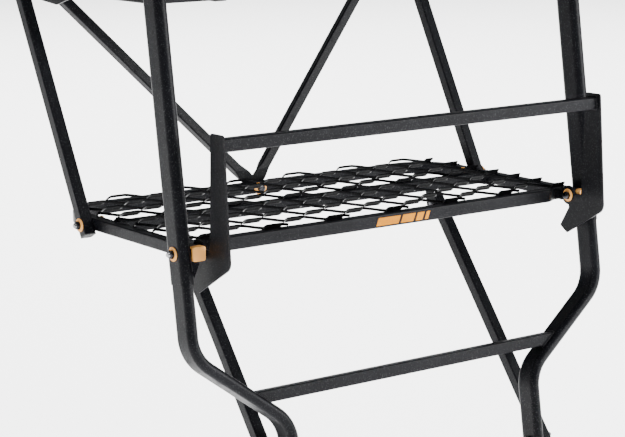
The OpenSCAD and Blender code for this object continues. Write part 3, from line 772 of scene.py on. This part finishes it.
@dataclass
class RaisedMesh:
    """Raised expanded metal of the deck.

    A strand runs along X and swings between two rows, flat along its bonds. Its section is a
    strip that leans forward, low where the strand lies in its front row and high in its rear
    one, so that two strands meet edge to edge in each bond.
    """

    rows: int = 13
    pitch: float = 0.153
    bond: float = 0.034
    phase: float = 0.0195
    first: float = 0.010
    beyond: float = 0.008
    strip: float = 0.0058
    thick: float = 0.0026
    lean: float = math.radians(62)
    step: float = 0.003
    corner: float = 0.100
    stub: float = 0.011
    knee: float = 0.04
    lap: float = 0.0003

    def swing(self, x: Array) -> Array:
        """0 on a front bond, 1 on a rear one: a trapezoid wave of x with softened knees."""
        half = self.pitch / 2
        flat = self.bond / 2
        away = np.abs(np.mod(x + half, self.pitch) - half)
        s = np.clip((away - flat) / (half - 2 * flat), 0, 1)
        return s - self.knee * np.sin(2 * np.pi * s)

    def reach(self, y: Array, half: float, rear: float) -> Array:
        """Half the deck's width at y: half, then less by a round corner that ends at the rear edge."""
        past = np.clip(y - (rear - self.corner), 0, self.corner)
        return half - self.corner + np.sqrt(self.corner ** 2 - past ** 2)

    def build(self) -> None:
        """Makes the mesh over the deck's rails and lets it stand for its CAD node.

        The sheet's front edge cuts through a row, so that short stubs of the strand ahead of the
        first one are left beside its bonds.
        """
        low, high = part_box("deck_mesh")
        front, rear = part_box("front_rail"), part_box("rear_rail")
        y0 = (front[0].y + front[1].y) / 2 + self.first
        y1 = rear[1].y - (front[1].y - front[0].y) / 2
        pace = (y1 - y0) / self.rows
        x = np.arange(low.x, high.x + self.step / 2, self.step)
        across = np.array([0, -math.cos(self.lean), math.sin(self.lean)])
        through = np.array([0, math.sin(self.lean), math.cos(self.lean)])
        middle = low.z + self.strip * math.sin(self.lean) + self.thick / 2 * math.cos(self.lean)
        section = soft_rect(self.strip + self.lap, self.thick, 0.0007, 3)
        shell = Shell()
        for row in range(-1, self.rows):
            s = self.swing(x - self.phase - (row % 2) * self.pitch / 2)
            path = np.stack([x, y0 + (row + s) * pace, np.full_like(x, middle)], -1)
            path = path + (s - 0.5)[:, None] * self.strip * across
            kept = np.abs(x) <= self.reach(path[:, 1], high.x, y1 + self.beyond)
            kept &= path[:, 1] > y0 - self.stub
            cuts = np.flatnonzero(np.diff(kept.astype(int))) + 1
            for run, keep in zip(np.split(path, cuts), np.split(kept, cuts)):
                if keep[0] and len(run) > 1:
                    skin = swept(run, section, across, through)
                    shell.grid(skin, (False, True)).cap(skin[0]).cap(skin[-1])
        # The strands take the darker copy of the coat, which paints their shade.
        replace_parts(shell.build("deck_mesh_made", Body.FRAME, Slot.COAT, SHADED_MESH_COAT), "deck_mesh")


@dataclass
class Welds:
    """Beads where the tubes are welded, each a rippled rope of weld round a tube's end."""

    bead: float = 0.0024
    ripple: float = 0.0021
    spacing: float = 0.0007
    sunk: float = 0.0006
    end_r: float = 0.001
    rung_cuts: tuple[tuple[str, float], ...] = (("rung_upper", math.radians(52.6)), ("rung_lower", 0.0))
    square_nodes: tuple[tuple[str, Body], ...] = (
        ("mid_rail", Body.FRAME), ("footrest_bar", Body.FOOTREST), ("back_bar", Body.FRAME),
        ("tree_bar", Body.FRAME), ("seat_front_bar", Body.SEAT), ("seat_rear_bar", Body.SEAT),
        ("shooting_bar", Body.SHOOTING_RAIL))

    def rope(self, loop: Array, normal: Array, closed: bool = True) -> Array:
        """Surface of a bead along a line.

        Its radius is bead times 1 + 0.16 times a rounded saw of the length run, plus two small sine waves.

        Args:
            loop: Points of the line, n x 3.
            normal: Direction across the line in the plane of the joint's end.
            closed: Whether the line closes on itself.

        Returns:
            Points, n x m x 3.
        """
        path = evenly(loop, self.spacing, closed)
        normal = np.broadcast_to(np.asarray(normal, float), path.shape)
        out = np.cross(directions(path, closed), normal)
        out /= np.linalg.norm(out, axis=1)[:, None]
        run = np.arange(len(path)) * self.spacing
        wave = np.mod(run / self.ripple, 1.0)
        swell = 1 + 0.16 * np.sqrt(wave) * np.sqrt(1 - wave ** 3)
        swell += 0.06 * np.sin(run * 310) + 0.05 * np.sin(run * 137)
        section = self.bead * swell[:, None, None] * circle(1.0)
        return swept(path, section, out, normal)

    def ring(self, flat: Array, centre: Array, turn: Array) -> Array:
        """Bead along an outline, n x 2, that lies in the plane of the first two axes of turn."""
        loop = placed(np.column_stack([flat, np.zeros(len(flat))]), centre, turn)
        return self.rope(loop, turn[:, 2])

    def build(self) -> None:
        """Makes the beads of the deck, the rungs, the footrest, the seat and the rails."""
        shells = {body: Shell() for body in Body}
        yz = np.array([[0, 0, 1], [1, 0, 0], [0, 1, 0]], float)
        for node, body in self.square_nodes:
            low, high = box_of(node)
            centre, side = (low + high) / 2, (high - low)[2]
            flat = soft_rect(side, side, TUBE_CORNER, 5)
            for x in (low[0] + self.sunk, high[0] - self.sunk):
                shells[body].grid(self.ring(flat, np.array([x, *centre[1:]]), yz), (True, True))
        self.add_rungs(shells[Body.FRAME])
        self.add_deck(shells[Body.FRAME], yz)
        for body, shell in shells.items():
            if shell.count:
                shell.build(f"welds_{body.value}", body, Slot.COAT, WELD_COAT, 60)

    def add_rungs(self, shell: Shell) -> None:
        """Adds the beads at the rungs' ends, which the slanted tubes cut at an angle."""
        lean = np.array(Matrix.Rotation(-FRONT_LEAN, 3, "X"))
        flat = soft_rect(TUBE, TUBE, TUBE_CORNER, 5)
        for node, cut in self.rung_cuts:
            low, high = box_of(node)
            centre = (low + high) / 2
            short = high[0] - TUBE / 2 * math.tan(cut)
            for side in (-1, 1):
                x = side * (short + flat[:, 1] * math.tan(cut) - self.sunk)
                loop = np.column_stack([x, flat]) @ lean.T
                loop[:, 1:] += centre[1:]
                normal = lean @ np.array([math.cos(cut), 0, -side * math.sin(cut)])
                shell.grid(self.rope(loop, normal), (True, True))

    def add_deck(self, shell: Shell, yz: Array) -> None:
        """Adds the beads at the front rail's flat ends and at the rear rail's two butt joints."""
        low, high = box_of("front_rail")
        flat = soft_rect(FLAT_END, high[2] - low[2], self.end_r, 3)
        for x in (low[0] + 0.0005, high[0] - 0.0005):
            centre = np.array([x, high[1] - FLAT_END / 2, (low[2] + high[2]) / 2])
            shell.grid(self.ring(flat, centre, yz), (True, True))
        xz = np.array([[1, 0, 0], [0, 0, 1], [0, 1, 0]], float)
        flat = soft_rect(TUBE - self.sunk, TUBE - self.sunk, TUBE_CORNER, 5)
        for node in ("side_rail_left", "side_rail_right"):
            low, high = box_of(node)
            centre = np.array([(low[0] + high[0]) / 2, high[1], (low[2] + high[2]) / 2])
            shell.grid(self.ring(flat, centre, xz), (True, True))


@dataclass
class PressedRail:
    """Front rail: a square tube whose ends are pressed to a flat strip behind the pivots."""

    crown: float = 0.002
    press: tuple[float, float] = (0.430, 0.468)
    dent: float = 0.0016
    dent_half: float = 0.006
    lost_corner: float = 0.0012

    def build(self) -> None:
        """Makes the rail and lets it stand for its CAD node.

        The depth goes from tube to flat with 3 t^2 - 2 t^3, where t is the share of the pressed
        length run. The rear face stays in line, and a shallow dent follows the front face.
        """
        low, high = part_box("front_rail")
        run = np.concatenate([np.linspace(0, self.press[0], 12), np.linspace(*self.press, 24), [high.x]])
        x = np.unique(np.round(np.concatenate([-run, run]), 6))
        t = np.clip((np.abs(x) - self.press[0]) / (self.press[1] - self.press[0]), 0, 1)
        share = 3 * t ** 2 - 2 * t ** 3
        depth = TUBE + (FLAT_END - TUBE) * share
        corner = TUBE_CORNER - self.lost_corner * share
        rings = np.stack([soft_rect(w, TUBE + self.crown, r, 5) for w, r in zip(depth, corner)])
        bell = np.exp(-(rings[..., 1] / self.dent_half) ** 2) * (rings[..., 0] < 0)
        dent = self.dent * share[:, None] * bell
        y = high.y - depth[:, None] / 2 + rings[..., 0] + dent
        z = (low.z + high.z + self.crown) / 2 + rings[..., 1]
        skin = np.stack([np.broadcast_to(x[:, None], y.shape), y, z], -1)
        shell = Shell().grid(skin, (False, True)).cap(skin[0]).cap(skin[-1])
        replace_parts(shell.build("front_rail_made", Body.FRAME, Slot.COAT, BLACK_COAT), "front_rail")


@dataclass
class RailMark:
    """Plain printed bars on the front rail: slanted blocks of falling width."""

    start: float = -0.042
    height: float = 0.0165
    widths: tuple[float, ...] = (0.058, 0.033, 0.018, 0.009)
    gap: float = 0.006
    slant: float = 0.4
    lift: float = 0.00025

    def build(self) -> None:
        """Makes the bars as thin plates on the rail's front face."""
        low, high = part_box("front_rail")
        y, z = low.y, (low.z + high.z) / 2
        shell = Shell()
        x = self.start
        for width in self.widths:
            flat = soft_rect(width, self.height, 0.0012, 4)
            px = x + width / 2 + flat[:, 0] + self.slant * flat[:, 1]
            rings = [np.stack([px, np.full_like(px, y - d), z + flat[:, 1]], -1) for d in (0, self.lift)]
            shell.grid(np.stack(rings), (False, True)).cap(rings[0]).cap(rings[1])
            x += width + self.gap
        shell.build("rail_mark", Body.FRAME, Slot.NYLON, ORANGE_PRINT)


# ---------------------------------------------------------------- pads


def round_corners(p: Array, half: Array, r: float) -> Array:
    """Moves points of a rectangle so that its corners are round.

    In each corner square of side r, (a, b) from 0 to 1 goes to (a sqrt(1 - b^2 / 2), b sqrt(1 - a^2 / 2)).

    Args:
        p: Points, n x 2, within the rectangle.
        half: Half its width and depth.
        r: The corners' radius.

    Returns:
        The moved points.
    """
    out = np.abs(p) - (half - r)
    a, b = np.clip(out[..., 0] / r, 0, 1), np.clip(out[..., 1] / r, 0, 1)
    moved = np.stack([a * np.sqrt(1 - b * b / 2), b * np.sqrt(1 - a * a / 2)], -1) * r
    inner = np.minimum(np.abs(p), half - r)
    return np.sign(p) * (inner + moved)


@dataclass
class PaddedPanel:
    """Sewn box cushion: two covers with channels, a side band, and piping along both edges.

    Its own axes are width, depth and thickness. The covers are pinned at the piping and at the
    channels' stitches, and cloth simulation blows them out in between.
    """

    name: str
    node: str
    body: Body
    size: tuple[float, float, float]
    centre: Array
    turn: Array
    corner: float = 0.035
    cell: float = 0.0058
    channels: tuple[float, ...] = ()
    across: bool = False
    puff: float = 0.012
    fill: float = 0.7
    edge: float = 0.02
    edge_fall: float = 0.25
    groove: float = 0.24
    groove_half: float = 0.006
    frames: int = 20
    piping_r: float = 0.0032
    piping_out: float = 0.0012
    piping_step: float = 0.006

    def cover(self, top: float) -> tuple[Array, Array]:
        """One cover's points on a grid, sunk along its channels.

        The height is half the thickness less a quarter-round fall near the edge and a narrow
        bell along each channel.

        Args:
            top: 1 for the upper cover, -1 for the lower one.

        Returns:
            Points, rows x columns x 3, and how far each lies from the nearest channel.
        """
        w, d, h = self.size
        nx, ny = int(w / self.cell) + 1, int(d / self.cell) + 1
        x, y = np.meshgrid(np.linspace(-w / 2, w / 2, nx), np.linspace(-d / 2, d / 2, ny), indexing="ij")
        flat = round_corners(np.stack([x, y], -1), np.array([w / 2, d / 2]), self.corner)
        along = x if self.across else y
        lines = np.array(self.channels) * (w if self.across else d) / 2
        away = np.min(np.abs(along[..., None] - lines), axis=-1) if len(lines) else np.full_like(x, 1.0)
        edge = np.minimum(w / 2 - np.abs(x), d / 2 - np.abs(y))
        fall = self.edge_fall * h * (1 - np.clip(edge / self.edge, 0, 1)) ** 2
        bell = np.exp(-(away / self.groove_half) ** 2) * np.clip(edge / (0.6 * self.edge), 0, 1)
        z = top * (h / 2 - fall - self.groove * h * bell)
        return np.concatenate([flat, z[..., None]], -1), away

    def shape(self) -> tuple[Array, Array, Array]:
        """The closed cover before it is blown out.

        Returns:
            Points n x 3, quads m x 4, and whether each point is held.
        """
        upper, away = self.cover(1)
        lower, _ = self.cover(-1)
        rows, cols = upper.shape[:2]
        number = np.arange(rows * cols).reshape(rows, cols)
        rim = np.concatenate([number[:-1, 0], number[-1, :-1], number[:0:-1, -1], number[0, :0:-1]])
        n = rows * cols
        band_rows = max(3, int(0.5 * self.size[2] / self.cell))
        t = np.linspace(0, 1, band_rows + 1)[1:-1, None, None]
        up, down = upper.reshape(-1, 3)[rim], lower.reshape(-1, 3)[rim]
        band = up * (1 - t) + down * t
        points = np.concatenate([upper.reshape(-1, 3), lower.reshape(-1, 3), band.reshape(-1, 3)])
        between = 2 * n + np.arange(band.shape[0] * len(rim)).reshape(-1, len(rim))
        rings = np.concatenate([rim[None], between, rim[None] + n])
        a, b = rings[:-1], rings[1:]
        side = np.stack([a, np.roll(a, -1, 1), np.roll(b, -1, 1), b], -1).reshape(-1, 4)
        q = np.stack([number[:-1, :-1], number[1:, :-1], number[1:, 1:], number[:-1, 1:]], -1)
        q = q.reshape(-1, 4)
        stitched = (away < self.cell * 0.55).reshape(-1)
        held = np.zeros(len(points), bool)
        for first in (0, n):
            held[first:first + n][stitched] = True
            held[first + rim] = True
        return points, np.concatenate([q, q[:, ::-1] + n, side]), held

    def blown(self, mesh: bpy.types.Mesh, held: Array) -> None:
        """Blows the cover out by cloth simulation, no further than puff, and keeps the result.

        Args:
            mesh: The cover, changed in place.
            held: Whether each point is held.
        """
        scene = bpy.context.scene
        work = bpy.data.objects.new(f"{self.name}_work", mesh.copy())
        scene.collection.objects.link(work)
        group = work.vertex_groups.new(name="held")
        group.add(np.flatnonzero(held).tolist(), 1.0, "REPLACE")
        cloth = work.modifiers.new("cloth", "CLOTH")
        values = cloth.settings
        values.quality = 5
        values.mass = 0.25
        values.vertex_group_mass = "held"
        values.pin_stiffness = 1.0
        values.use_pressure = True
        values.uniform_pressure_force = 5.0
        values.shrink_min = -0.035
        values.tension_stiffness = 25
        values.compression_stiffness = 25
        values.shear_stiffness = 8
        values.bending_stiffness = 0.6
        values.effector_weights.gravity = 0.0
        cloth.collision_settings.use_collision = False
        cloth.point_cache.frame_start, cloth.point_cache.frame_end = 1, self.frames
        for step in range(1, self.frames + 1):
            scene.frame_set(step)
        graph = bpy.context.evaluated_depsgraph_get()
        final = coordinates(work.evaluated_get(graph).to_mesh())
        scene.frame_set(1)
        bpy.data.objects.remove(work)
        rest = coordinates(mesh)
        move = final - rest
        far = np.linalg.norm(move, axis=1)[:, None]
        move *= np.tanh(far / self.puff) * self.puff / np.maximum(far, 1e-9)
        mesh.vertices.foreach_set("co", (rest + move).astype(np.float32).ravel())

    def build(self) -> None:
        """Makes the cushion and its piping."""
        points, quads, held = self.shape()
        mesh = bpy.data.meshes.new(self.name)
        mesh.from_pydata(points.tolist(), [], quads.tolist())
        close_and_turn_out(mesh)
        self.blown(mesh, held)
        co = coordinates(mesh)
        self.unwrap(mesh, co)
        world = placed(co, self.centre, self.turn)
        mesh.vertices.foreach_set("co", world.astype(np.float32).ravel())
        mesh.polygons.foreach_set("use_smooth", np.ones(len(mesh.polygons), bool))
        piece = adopt(bpy.data.objects.new(self.name, mesh), self.body, PAD_CLOTH)
        soften = piece.modifiers.new("soften", "SUBSURF")
        soften.levels = soften.render_levels = 1
        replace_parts(piece, self.node)
        self.build_piping()

    @staticmethod
    def unwrap(mesh: bpy.types.Mesh, co: Array) -> None:
        """Lays the cloth's UV map in metres, each face along the two axes that it faces least."""
        n, m = len(mesh.polygons), len(mesh.loops)
        normal = np.zeros(n * 3, np.float32)
        mesh.polygons.foreach_get("normal", normal)
        sizes = np.zeros(n, np.int32)
        mesh.polygons.foreach_get("loop_total", sizes)
        corner = np.zeros(m, np.int32)
        mesh.loops.foreach_get("vertex_index", corner)
        main = np.repeat(np.argmax(np.abs(normal.reshape(-1, 3)), axis=1), sizes)
        first, second = np.array([1, 0, 0])[main], np.array([2, 2, 1])[main]
        p = co[corner]
        rows = np.arange(m)
        uv = np.stack([p[rows, first], p[rows, second]], -1)
        mesh.uv_layers.new(name="cloth").data.foreach_set("uv", uv.astype(np.float32).ravel())

    def build_piping(self) -> None:
        """Makes the piping: a round cord along the edge of both covers."""
        w, d, h = self.size
        loop = evenly(soft_rect(w, d, self.corner, 12), self.piping_step)
        along = directions(loop)
        out = np.column_stack([along[:, 1], -along[:, 0], np.zeros(len(loop))])
        section = circle(self.piping_r)
        a = np.linspace(0, 2 * np.pi, len(section), endpoint=False)
        run = np.arange(len(loop))[:, None] * self.piping_step
        uv = np.stack(np.broadcast_arrays(run, self.piping_r * a), -1)
        shell = Shell()
        for side in (-1, 1):
            edge = np.full(len(loop), side * h * (0.5 - self.edge_fall))
            path = np.column_stack([loop, edge]) + self.piping_out * out
            skin = swept(path, section, out, np.array([0, 0, 1.0]))
            shell.grid(placed(skin, self.centre, self.turn), (True, True), uv)
        shell.build(f"{self.name}_piping", self.body, Slot.FABRIC, PIPING_CLOTH)


@dataclass
class FoamSleeve:
    """Foam sleeve in a sewn cloth cover round a rail, gathered at its ends."""

    name: str
    node: str
    body: Body
    along: int
    tube: float
    fill: float = 0.85
    step: float = 0.004
    slack: float = 0.0012
    bore_gap: float = 0.001
    power: float = 3.4

    def radius(self, s: Array, a: Array, length: float, thick: float) -> Array:
        """Distance from the rail's line.

        A rounded square of the cover's size, gathered in over the last 14 mm of each end, with
        shallow rings of slack cloth and a sewn seam along the underside.

        Args:
            s: Distance along the sleeve.
            a: Angle round it.
            length: The sleeve's length.
            thick: Half its outer size.

        Returns:
            The radius.
        """
        n = self.power
        square = thick / (np.abs(np.cos(a)) ** n + np.abs(np.sin(a)) ** n) ** (1 / n)
        end = np.minimum(s, length - s)
        gather = 1 - 0.42 * np.clip(1 - end / 0.014, 0, 1) ** 2.2
        pleats = 0.0011 * np.sin(14 * a) * np.exp(-(end / 0.02) ** 2)
        slack = 0.0009 * np.sin(s * 74 + 0.9 * np.sin(2 * a + s * 11)) * np.sin(a + 0.6) ** 2
        slack += 0.0006 * np.sin(s * 131 + 2.3 * np.cos(a))
        seam = -0.0022 * np.exp(-((np.mod(a + np.pi / 2 + np.pi, 2 * np.pi) - np.pi) / 0.07) ** 2)
        return square * gather + (pleats + slack + seam) * np.clip(end / 0.01, 0, 1)

    def build(self) -> None:
        """Makes the sleeve with the hole for its rail."""
        low, high = box_of(self.node)
        centre = (low + high) / 2
        length = (high - low)[self.along]
        thick = (high - low)[2] / 2 - self.slack
        s = np.linspace(0, length, int(length / self.step))[:, None]
        a = np.linspace(0, 2 * np.pi, 72, endpoint=False)[None]
        r = self.radius(s, a, length, thick)
        first, second = (1, 2) if self.along == 0 else (0, 2)
        p = np.zeros((*r.shape, 3))
        p[..., self.along] = low[self.along] + s
        p[..., first] = centre[first] + r * np.cos(a)
        p[..., second] = centre[second] + r * np.sin(a)
        bore = self.tube + self.bore_gap
        hole = soft_rect(bore, bore, TUBE_CORNER + self.bore_gap / 2, 18)
        walls = np.zeros((2, len(hole), 3))
        walls[..., self.along] = np.array([[high[self.along]], [low[self.along]]])
        walls[..., first] = centre[first] + hole[:, 0]
        walls[..., second] = centre[second] + hole[:, 1]
        start = np.argmin(np.abs(np.arctan2(hole[:, 1], hole[:, 0])))
        walls = np.roll(walls, -start, axis=1)
        skin = np.concatenate([p, walls])
        uv = np.stack([np.broadcast_to(s, r.shape), thick * np.broadcast_to(a, r.shape)], -1)
        uv = np.concatenate([uv, uv[:2] * 0 + np.stack([thick * a[0], 0 * a[0]], -1)])
        shell = Shell().grid(skin, (True, True), uv)
        piece = shell.build(self.name, self.body, Slot.FABRIC, PAD_CLOTH, 50)
        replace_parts(piece, self.node)


def outline_round(points: Array) -> Array:
    """Convex outline of points in a plane, anticlockwise: the turns that bend inwards are dropped."""
    order = points[np.lexsort((points[:, 1], points[:, 0]))]
    sides = []
    for run in (order, order[::-1]):
        side: list[Array] = []
        for p in run:
            while len(side) > 1 and np.cross(side[-1] - side[-2], p - side[-1]) <= 0:
                side.pop()
            side.append(p)
        sides += side[:-1]
    return np.array(sides)


@dataclass
class Straps:
    """Webbing loops that tie the cushions to the bars behind and below them."""

    width: float = 0.025
    thick: float = 0.0016
    seat_places: tuple[float, ...] = (-0.30, 0.0, 0.30)
    back_places: tuple[float, ...] = (-0.31, -0.13, 0.13, 0.31)
    back_ties: tuple[tuple[str, float], ...] = (("back_bar", -0.062), ("tree_bar", 0.080))
    seat_hold: float = 0.019
    back_hold: float = 0.012
    back_depth: float = 0.0135
    seat_sunk: float = 0.001
    step: float = 0.002

    def loop(self, shell: Shell, x: float, outline: Array) -> None:
        """Adds a band of webbing along an outline of [y, z] points, centred on x."""
        path = evenly(outline, self.step)
        path = (np.roll(path, 1, 0) + path + np.roll(path, -1, 0)) / 3
        along = directions(path)
        out = np.column_stack([np.zeros(len(path)), along[:, 1], -along[:, 0]])
        spine = np.column_stack([np.full(len(path), x), path])
        section = soft_rect(self.width, self.thick, 0.0007, 3)
        run = np.arange(len(path))[:, None] * self.step
        uv = np.stack(np.broadcast_arrays(section[:, 0][None], run), -1)
        shell.grid(swept(spine, section, np.array([1.0, 0, 0]), out), (True, True), uv)

    def around(self, node: str, holds: Array) -> Array:
        """Outline that runs round a bar and out to the points where the webbing is sewn on."""
        low, high = (corner[1:] for corner in box_of(node))
        side = (high - low)[0] + 2 * self.thick
        bar = soft_rect(side, side, 0.004, 5) + (low + high) / 2
        return outline_round(np.concatenate([bar, holds]))

    def build(self) -> None:
        """Makes the loops of the seat and of the backrest."""
        seat, back = Shell(), Shell()
        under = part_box("seat_cushion")[0].z + self.seat_sunk
        for node in ("seat_front_bar", "seat_rear_bar"):
            low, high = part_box(node)
            middle = (low.y + high.y) / 2
            holds = np.array([[middle - self.seat_hold, under], [middle + self.seat_hold, under]])
            outline = self.around(node, holds)
            for x in self.seat_places:
                self.loop(seat, x, outline)
        middle = sum(box_of("backrest_pad"))[1:] / 2
        up = np.array([math.sin(REAR_LEAN), math.cos(REAR_LEAN)])
        out = np.array([math.cos(REAR_LEAN), -math.sin(REAR_LEAN)])
        for node, along in self.back_ties:
            spot = middle + along * up + self.back_depth * out
            outline = self.around(node, np.array([spot - self.back_hold * up, spot + self.back_hold * up]))
            for x in self.back_places:
                self.loop(back, x, outline)
        seat.build("seat_straps", Body.SEAT, Slot.FABRIC, WEBBING)
        back.build("backrest_straps", Body.FRAME, Slot.FABRIC, WEBBING)


# ---------------------------------------------------------------- stage


@dataclass
class Studio:
    """Pale floor, soft light and the camera."""

    eye: tuple[float, float, float] = (-2.4545, -3.9807, -0.0316)
    yaw: float = math.radians(35.77)
    pitch: float = math.radians(10.90)
    roll: float = math.radians(-0.48)
    lens: float = 112.98
    floor_drop: float = 0.35
    floor_size: float = 60.0

    def camera(self) -> None:
        """Makes the camera: it looks along yaw and pitch, turned by roll about its own line."""
        cy, sy, cp, sp = math.cos(self.yaw), math.sin(self.yaw), math.cos(self.pitch), math.sin(self.pitch)
        ahead = Vector((sy * cp, cy * cp, -sp))
        right = Vector((cy, -sy, 0))
        up = right.cross(ahead)
        tilt_right = math.cos(self.roll) * right + math.sin(self.roll) * up
        tilt_up = -math.sin(self.roll) * right + math.cos(self.roll) * up
        data = bpy.data.cameras.new("camera")
        data.lens = self.lens
        data.sensor_width = 36.0
        data.clip_end = 200
        camera = bpy.data.objects.new("camera", data)
        turn = Matrix((tilt_right, tilt_up, -ahead)).transposed().to_4x4()
        camera.matrix_world = Matrix.Translation(self.eye) @ turn
        bpy.context.scene.collection.objects.link(camera)
        bpy.context.scene.camera = camera

    def floor(self) -> bpy.types.Object:
        """Makes a wide pale floor below the model and returns it."""
        z = CAD_BOX[0].z - self.floor_drop
        half = self.floor_size / 2
        mesh = bpy.data.meshes.new("floor")
        corners = [(-half, -half, z), (half, -half, z), (half, half, z), (-half, half, z)]
        mesh.from_pydata(corners, [], [(0, 1, 2, 3)])
        floor = bpy.data.objects.new("floor", mesh)
        bpy.context.scene.collection.objects.link(floor)
        made = bpy.data.materials.new("pale_floor")
        made.use_nodes = True
        shader = made.node_tree.nodes["Principled BSDF"]
        shader.inputs["Base Color"].default_value = (0.93, 0.93, 0.93, 1)
        shader.inputs["Roughness"].default_value = 0.9
        mesh.materials.append(made)
        return floor

    def lamp(self, name: str, spot: tuple, target: tuple, size: tuple[float, float],
             watts: float) -> bpy.types.Object:
        """Makes a soft rectangular lamp that faces a point and returns it."""
        data = bpy.data.lights.new(name, "AREA")
        data.shape = "RECTANGLE"
        data.size, data.size_y = size
        data.energy = watts
        lamp = bpy.data.objects.new(name, data)
        place = Vector(spot)
        facing = (Vector(target) - place).to_track_quat("-Z", "Y").to_matrix().to_4x4()
        lamp.matrix_world = Matrix.Translation(place) @ facing
        bpy.context.scene.collection.objects.link(lamp)
        return lamp

    def build(self) -> None:
        """Makes the whole stage. The ceiling lights the floor alone, so that the coat stays dark."""
        self.camera()
        world = bpy.data.worlds.new("soft_sky")
        world.use_nodes = True
        sky = world.node_tree.nodes["Background"].inputs
        sky["Color"].default_value = (0.94, 0.97, 1, 1)
        sky["Strength"].default_value = 0.3
        bpy.context.scene.world = world
        middle = (0.0, -0.6, -0.7)
        self.lamp("key", (3.4, -4.6, 0.4), middle, size=(3.0, 2.4), watts=440)
        self.lamp("rim", (-3.4, -1.4, 2.6), middle, size=(1.2, 1.2), watts=60)
        lit = bpy.data.collections.new("lit_by_ceiling")
        lit.objects.link(self.floor())
        ceiling = self.lamp("ceiling", (5.2, 6.5, 8.0), (5.2, 6.5, 0.0), size=(20.0, 20.0), watts=13000)
        ceiling.light_linking.receiver_collection = lit


# ---------------------------------------------------------------- the stand


@dataclass
class Stand:
    """The whole stand: dresses the CAD nodes and builds the pieces that stand for some of them."""

    finishes: dict[str, Finish] = field(default_factory=lambda: {
        Slot.COAT.value: BLACK_COAT, Slot.NYLON.value: ORANGE_NYLON, Slot.STEEL.value: DARK_STEEL,
        Slot.FABRIC.value: PAD_CLOTH, Slot.RUBBER.value: BLACK_RUBBER})
    eased_nodes: tuple[str, ...] = (
        "footrest_plate_left", "footrest_plate_right", "rail_caps", "tube_caps", "brace_tabs", "hinge_lugs",
        "seat_bracket_left", "seat_bracket_right", "tree_bracket", "rest_bumpers")
    eased: float = 0.0006
    seat_margin: tuple[float, float, float] = (0.012, 0.012, 0.006)
    back_size: tuple[float, float, float] = (0.868, 0.190, 0.0265)

    def dress(self) -> None:
        """Gives every CAD node the finish of its slot."""
        slots = {row["node"]: row["material_slot"] for row in frame["record"]["subparts"]}
        for node, piece in frame["nodes"].items():
            finish = self.finishes[slots[node]]
            for place in piece.material_slots:
                place.material = finish.material()

    def ease(self) -> None:
        """Rounds the sharp edges of plates and plugs a little."""
        for node in self.eased_nodes:
            piece = frame["nodes"][node]
            weld = piece.modifiers.new("join", "WELD")
            weld.merge_threshold = 1e-5
            bevel = piece.modifiers.new("ease", "BEVEL")
            bevel.width = self.eased
            bevel.segments = 2
            bevel.limit_method = "ANGLE"
            bevel.angle_limit = math.radians(40)
            bevel.harden_normals = True

    def pads(self) -> None:
        """Makes the seat's cushion, the backrest and the three foam sleeves."""
        low, high = box_of("seat_cushion")
        PaddedPanel(
            "seat_cushion_made", "seat_cushion", Body.SEAT, tuple(high - low - self.seat_margin),
            (low + high) / 2, np.eye(3), channels=(-0.5, 0.0, 0.5)).build()
        low, high = box_of("backrest_pad")
        lean = np.array(Matrix.Rotation(math.pi / 2 - REAR_LEAN, 3, "X"))
        PaddedPanel(
            "backrest_made", "backrest_pad", Body.FRAME, self.back_size,
            (low + high) / 2, lean, corner=0.04, channels=(0.0,), puff=0.007).build()
        for side in ("left", "right"):
            FoamSleeve(f"armrest_sleeve_{side}", f"armrest_pad_{side}", Body.FRAME, 1, TUBE).build()
        FoamSleeve("shooting_rail_sleeve", "shooting_pad", Body.SHOOTING_RAIL, 0, 0.022).build()
        Straps().build()

    def build(self) -> None:
        """Dresses and builds everything."""
        self.dress()
        self.ease()
        RaisedMesh().build()
        PressedRail().build()
        Welds().build()
        RailMark().build()
        Fasteners().build()
        self.pads()


def main() -> None:
    """Builds the stage and the stand."""
    logging.basicConfig(level=logging.INFO, format="%(name)s: %(message)s")
    Studio().build()
    Stand().build()
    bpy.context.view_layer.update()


if __name__ == "__main__":
    main()
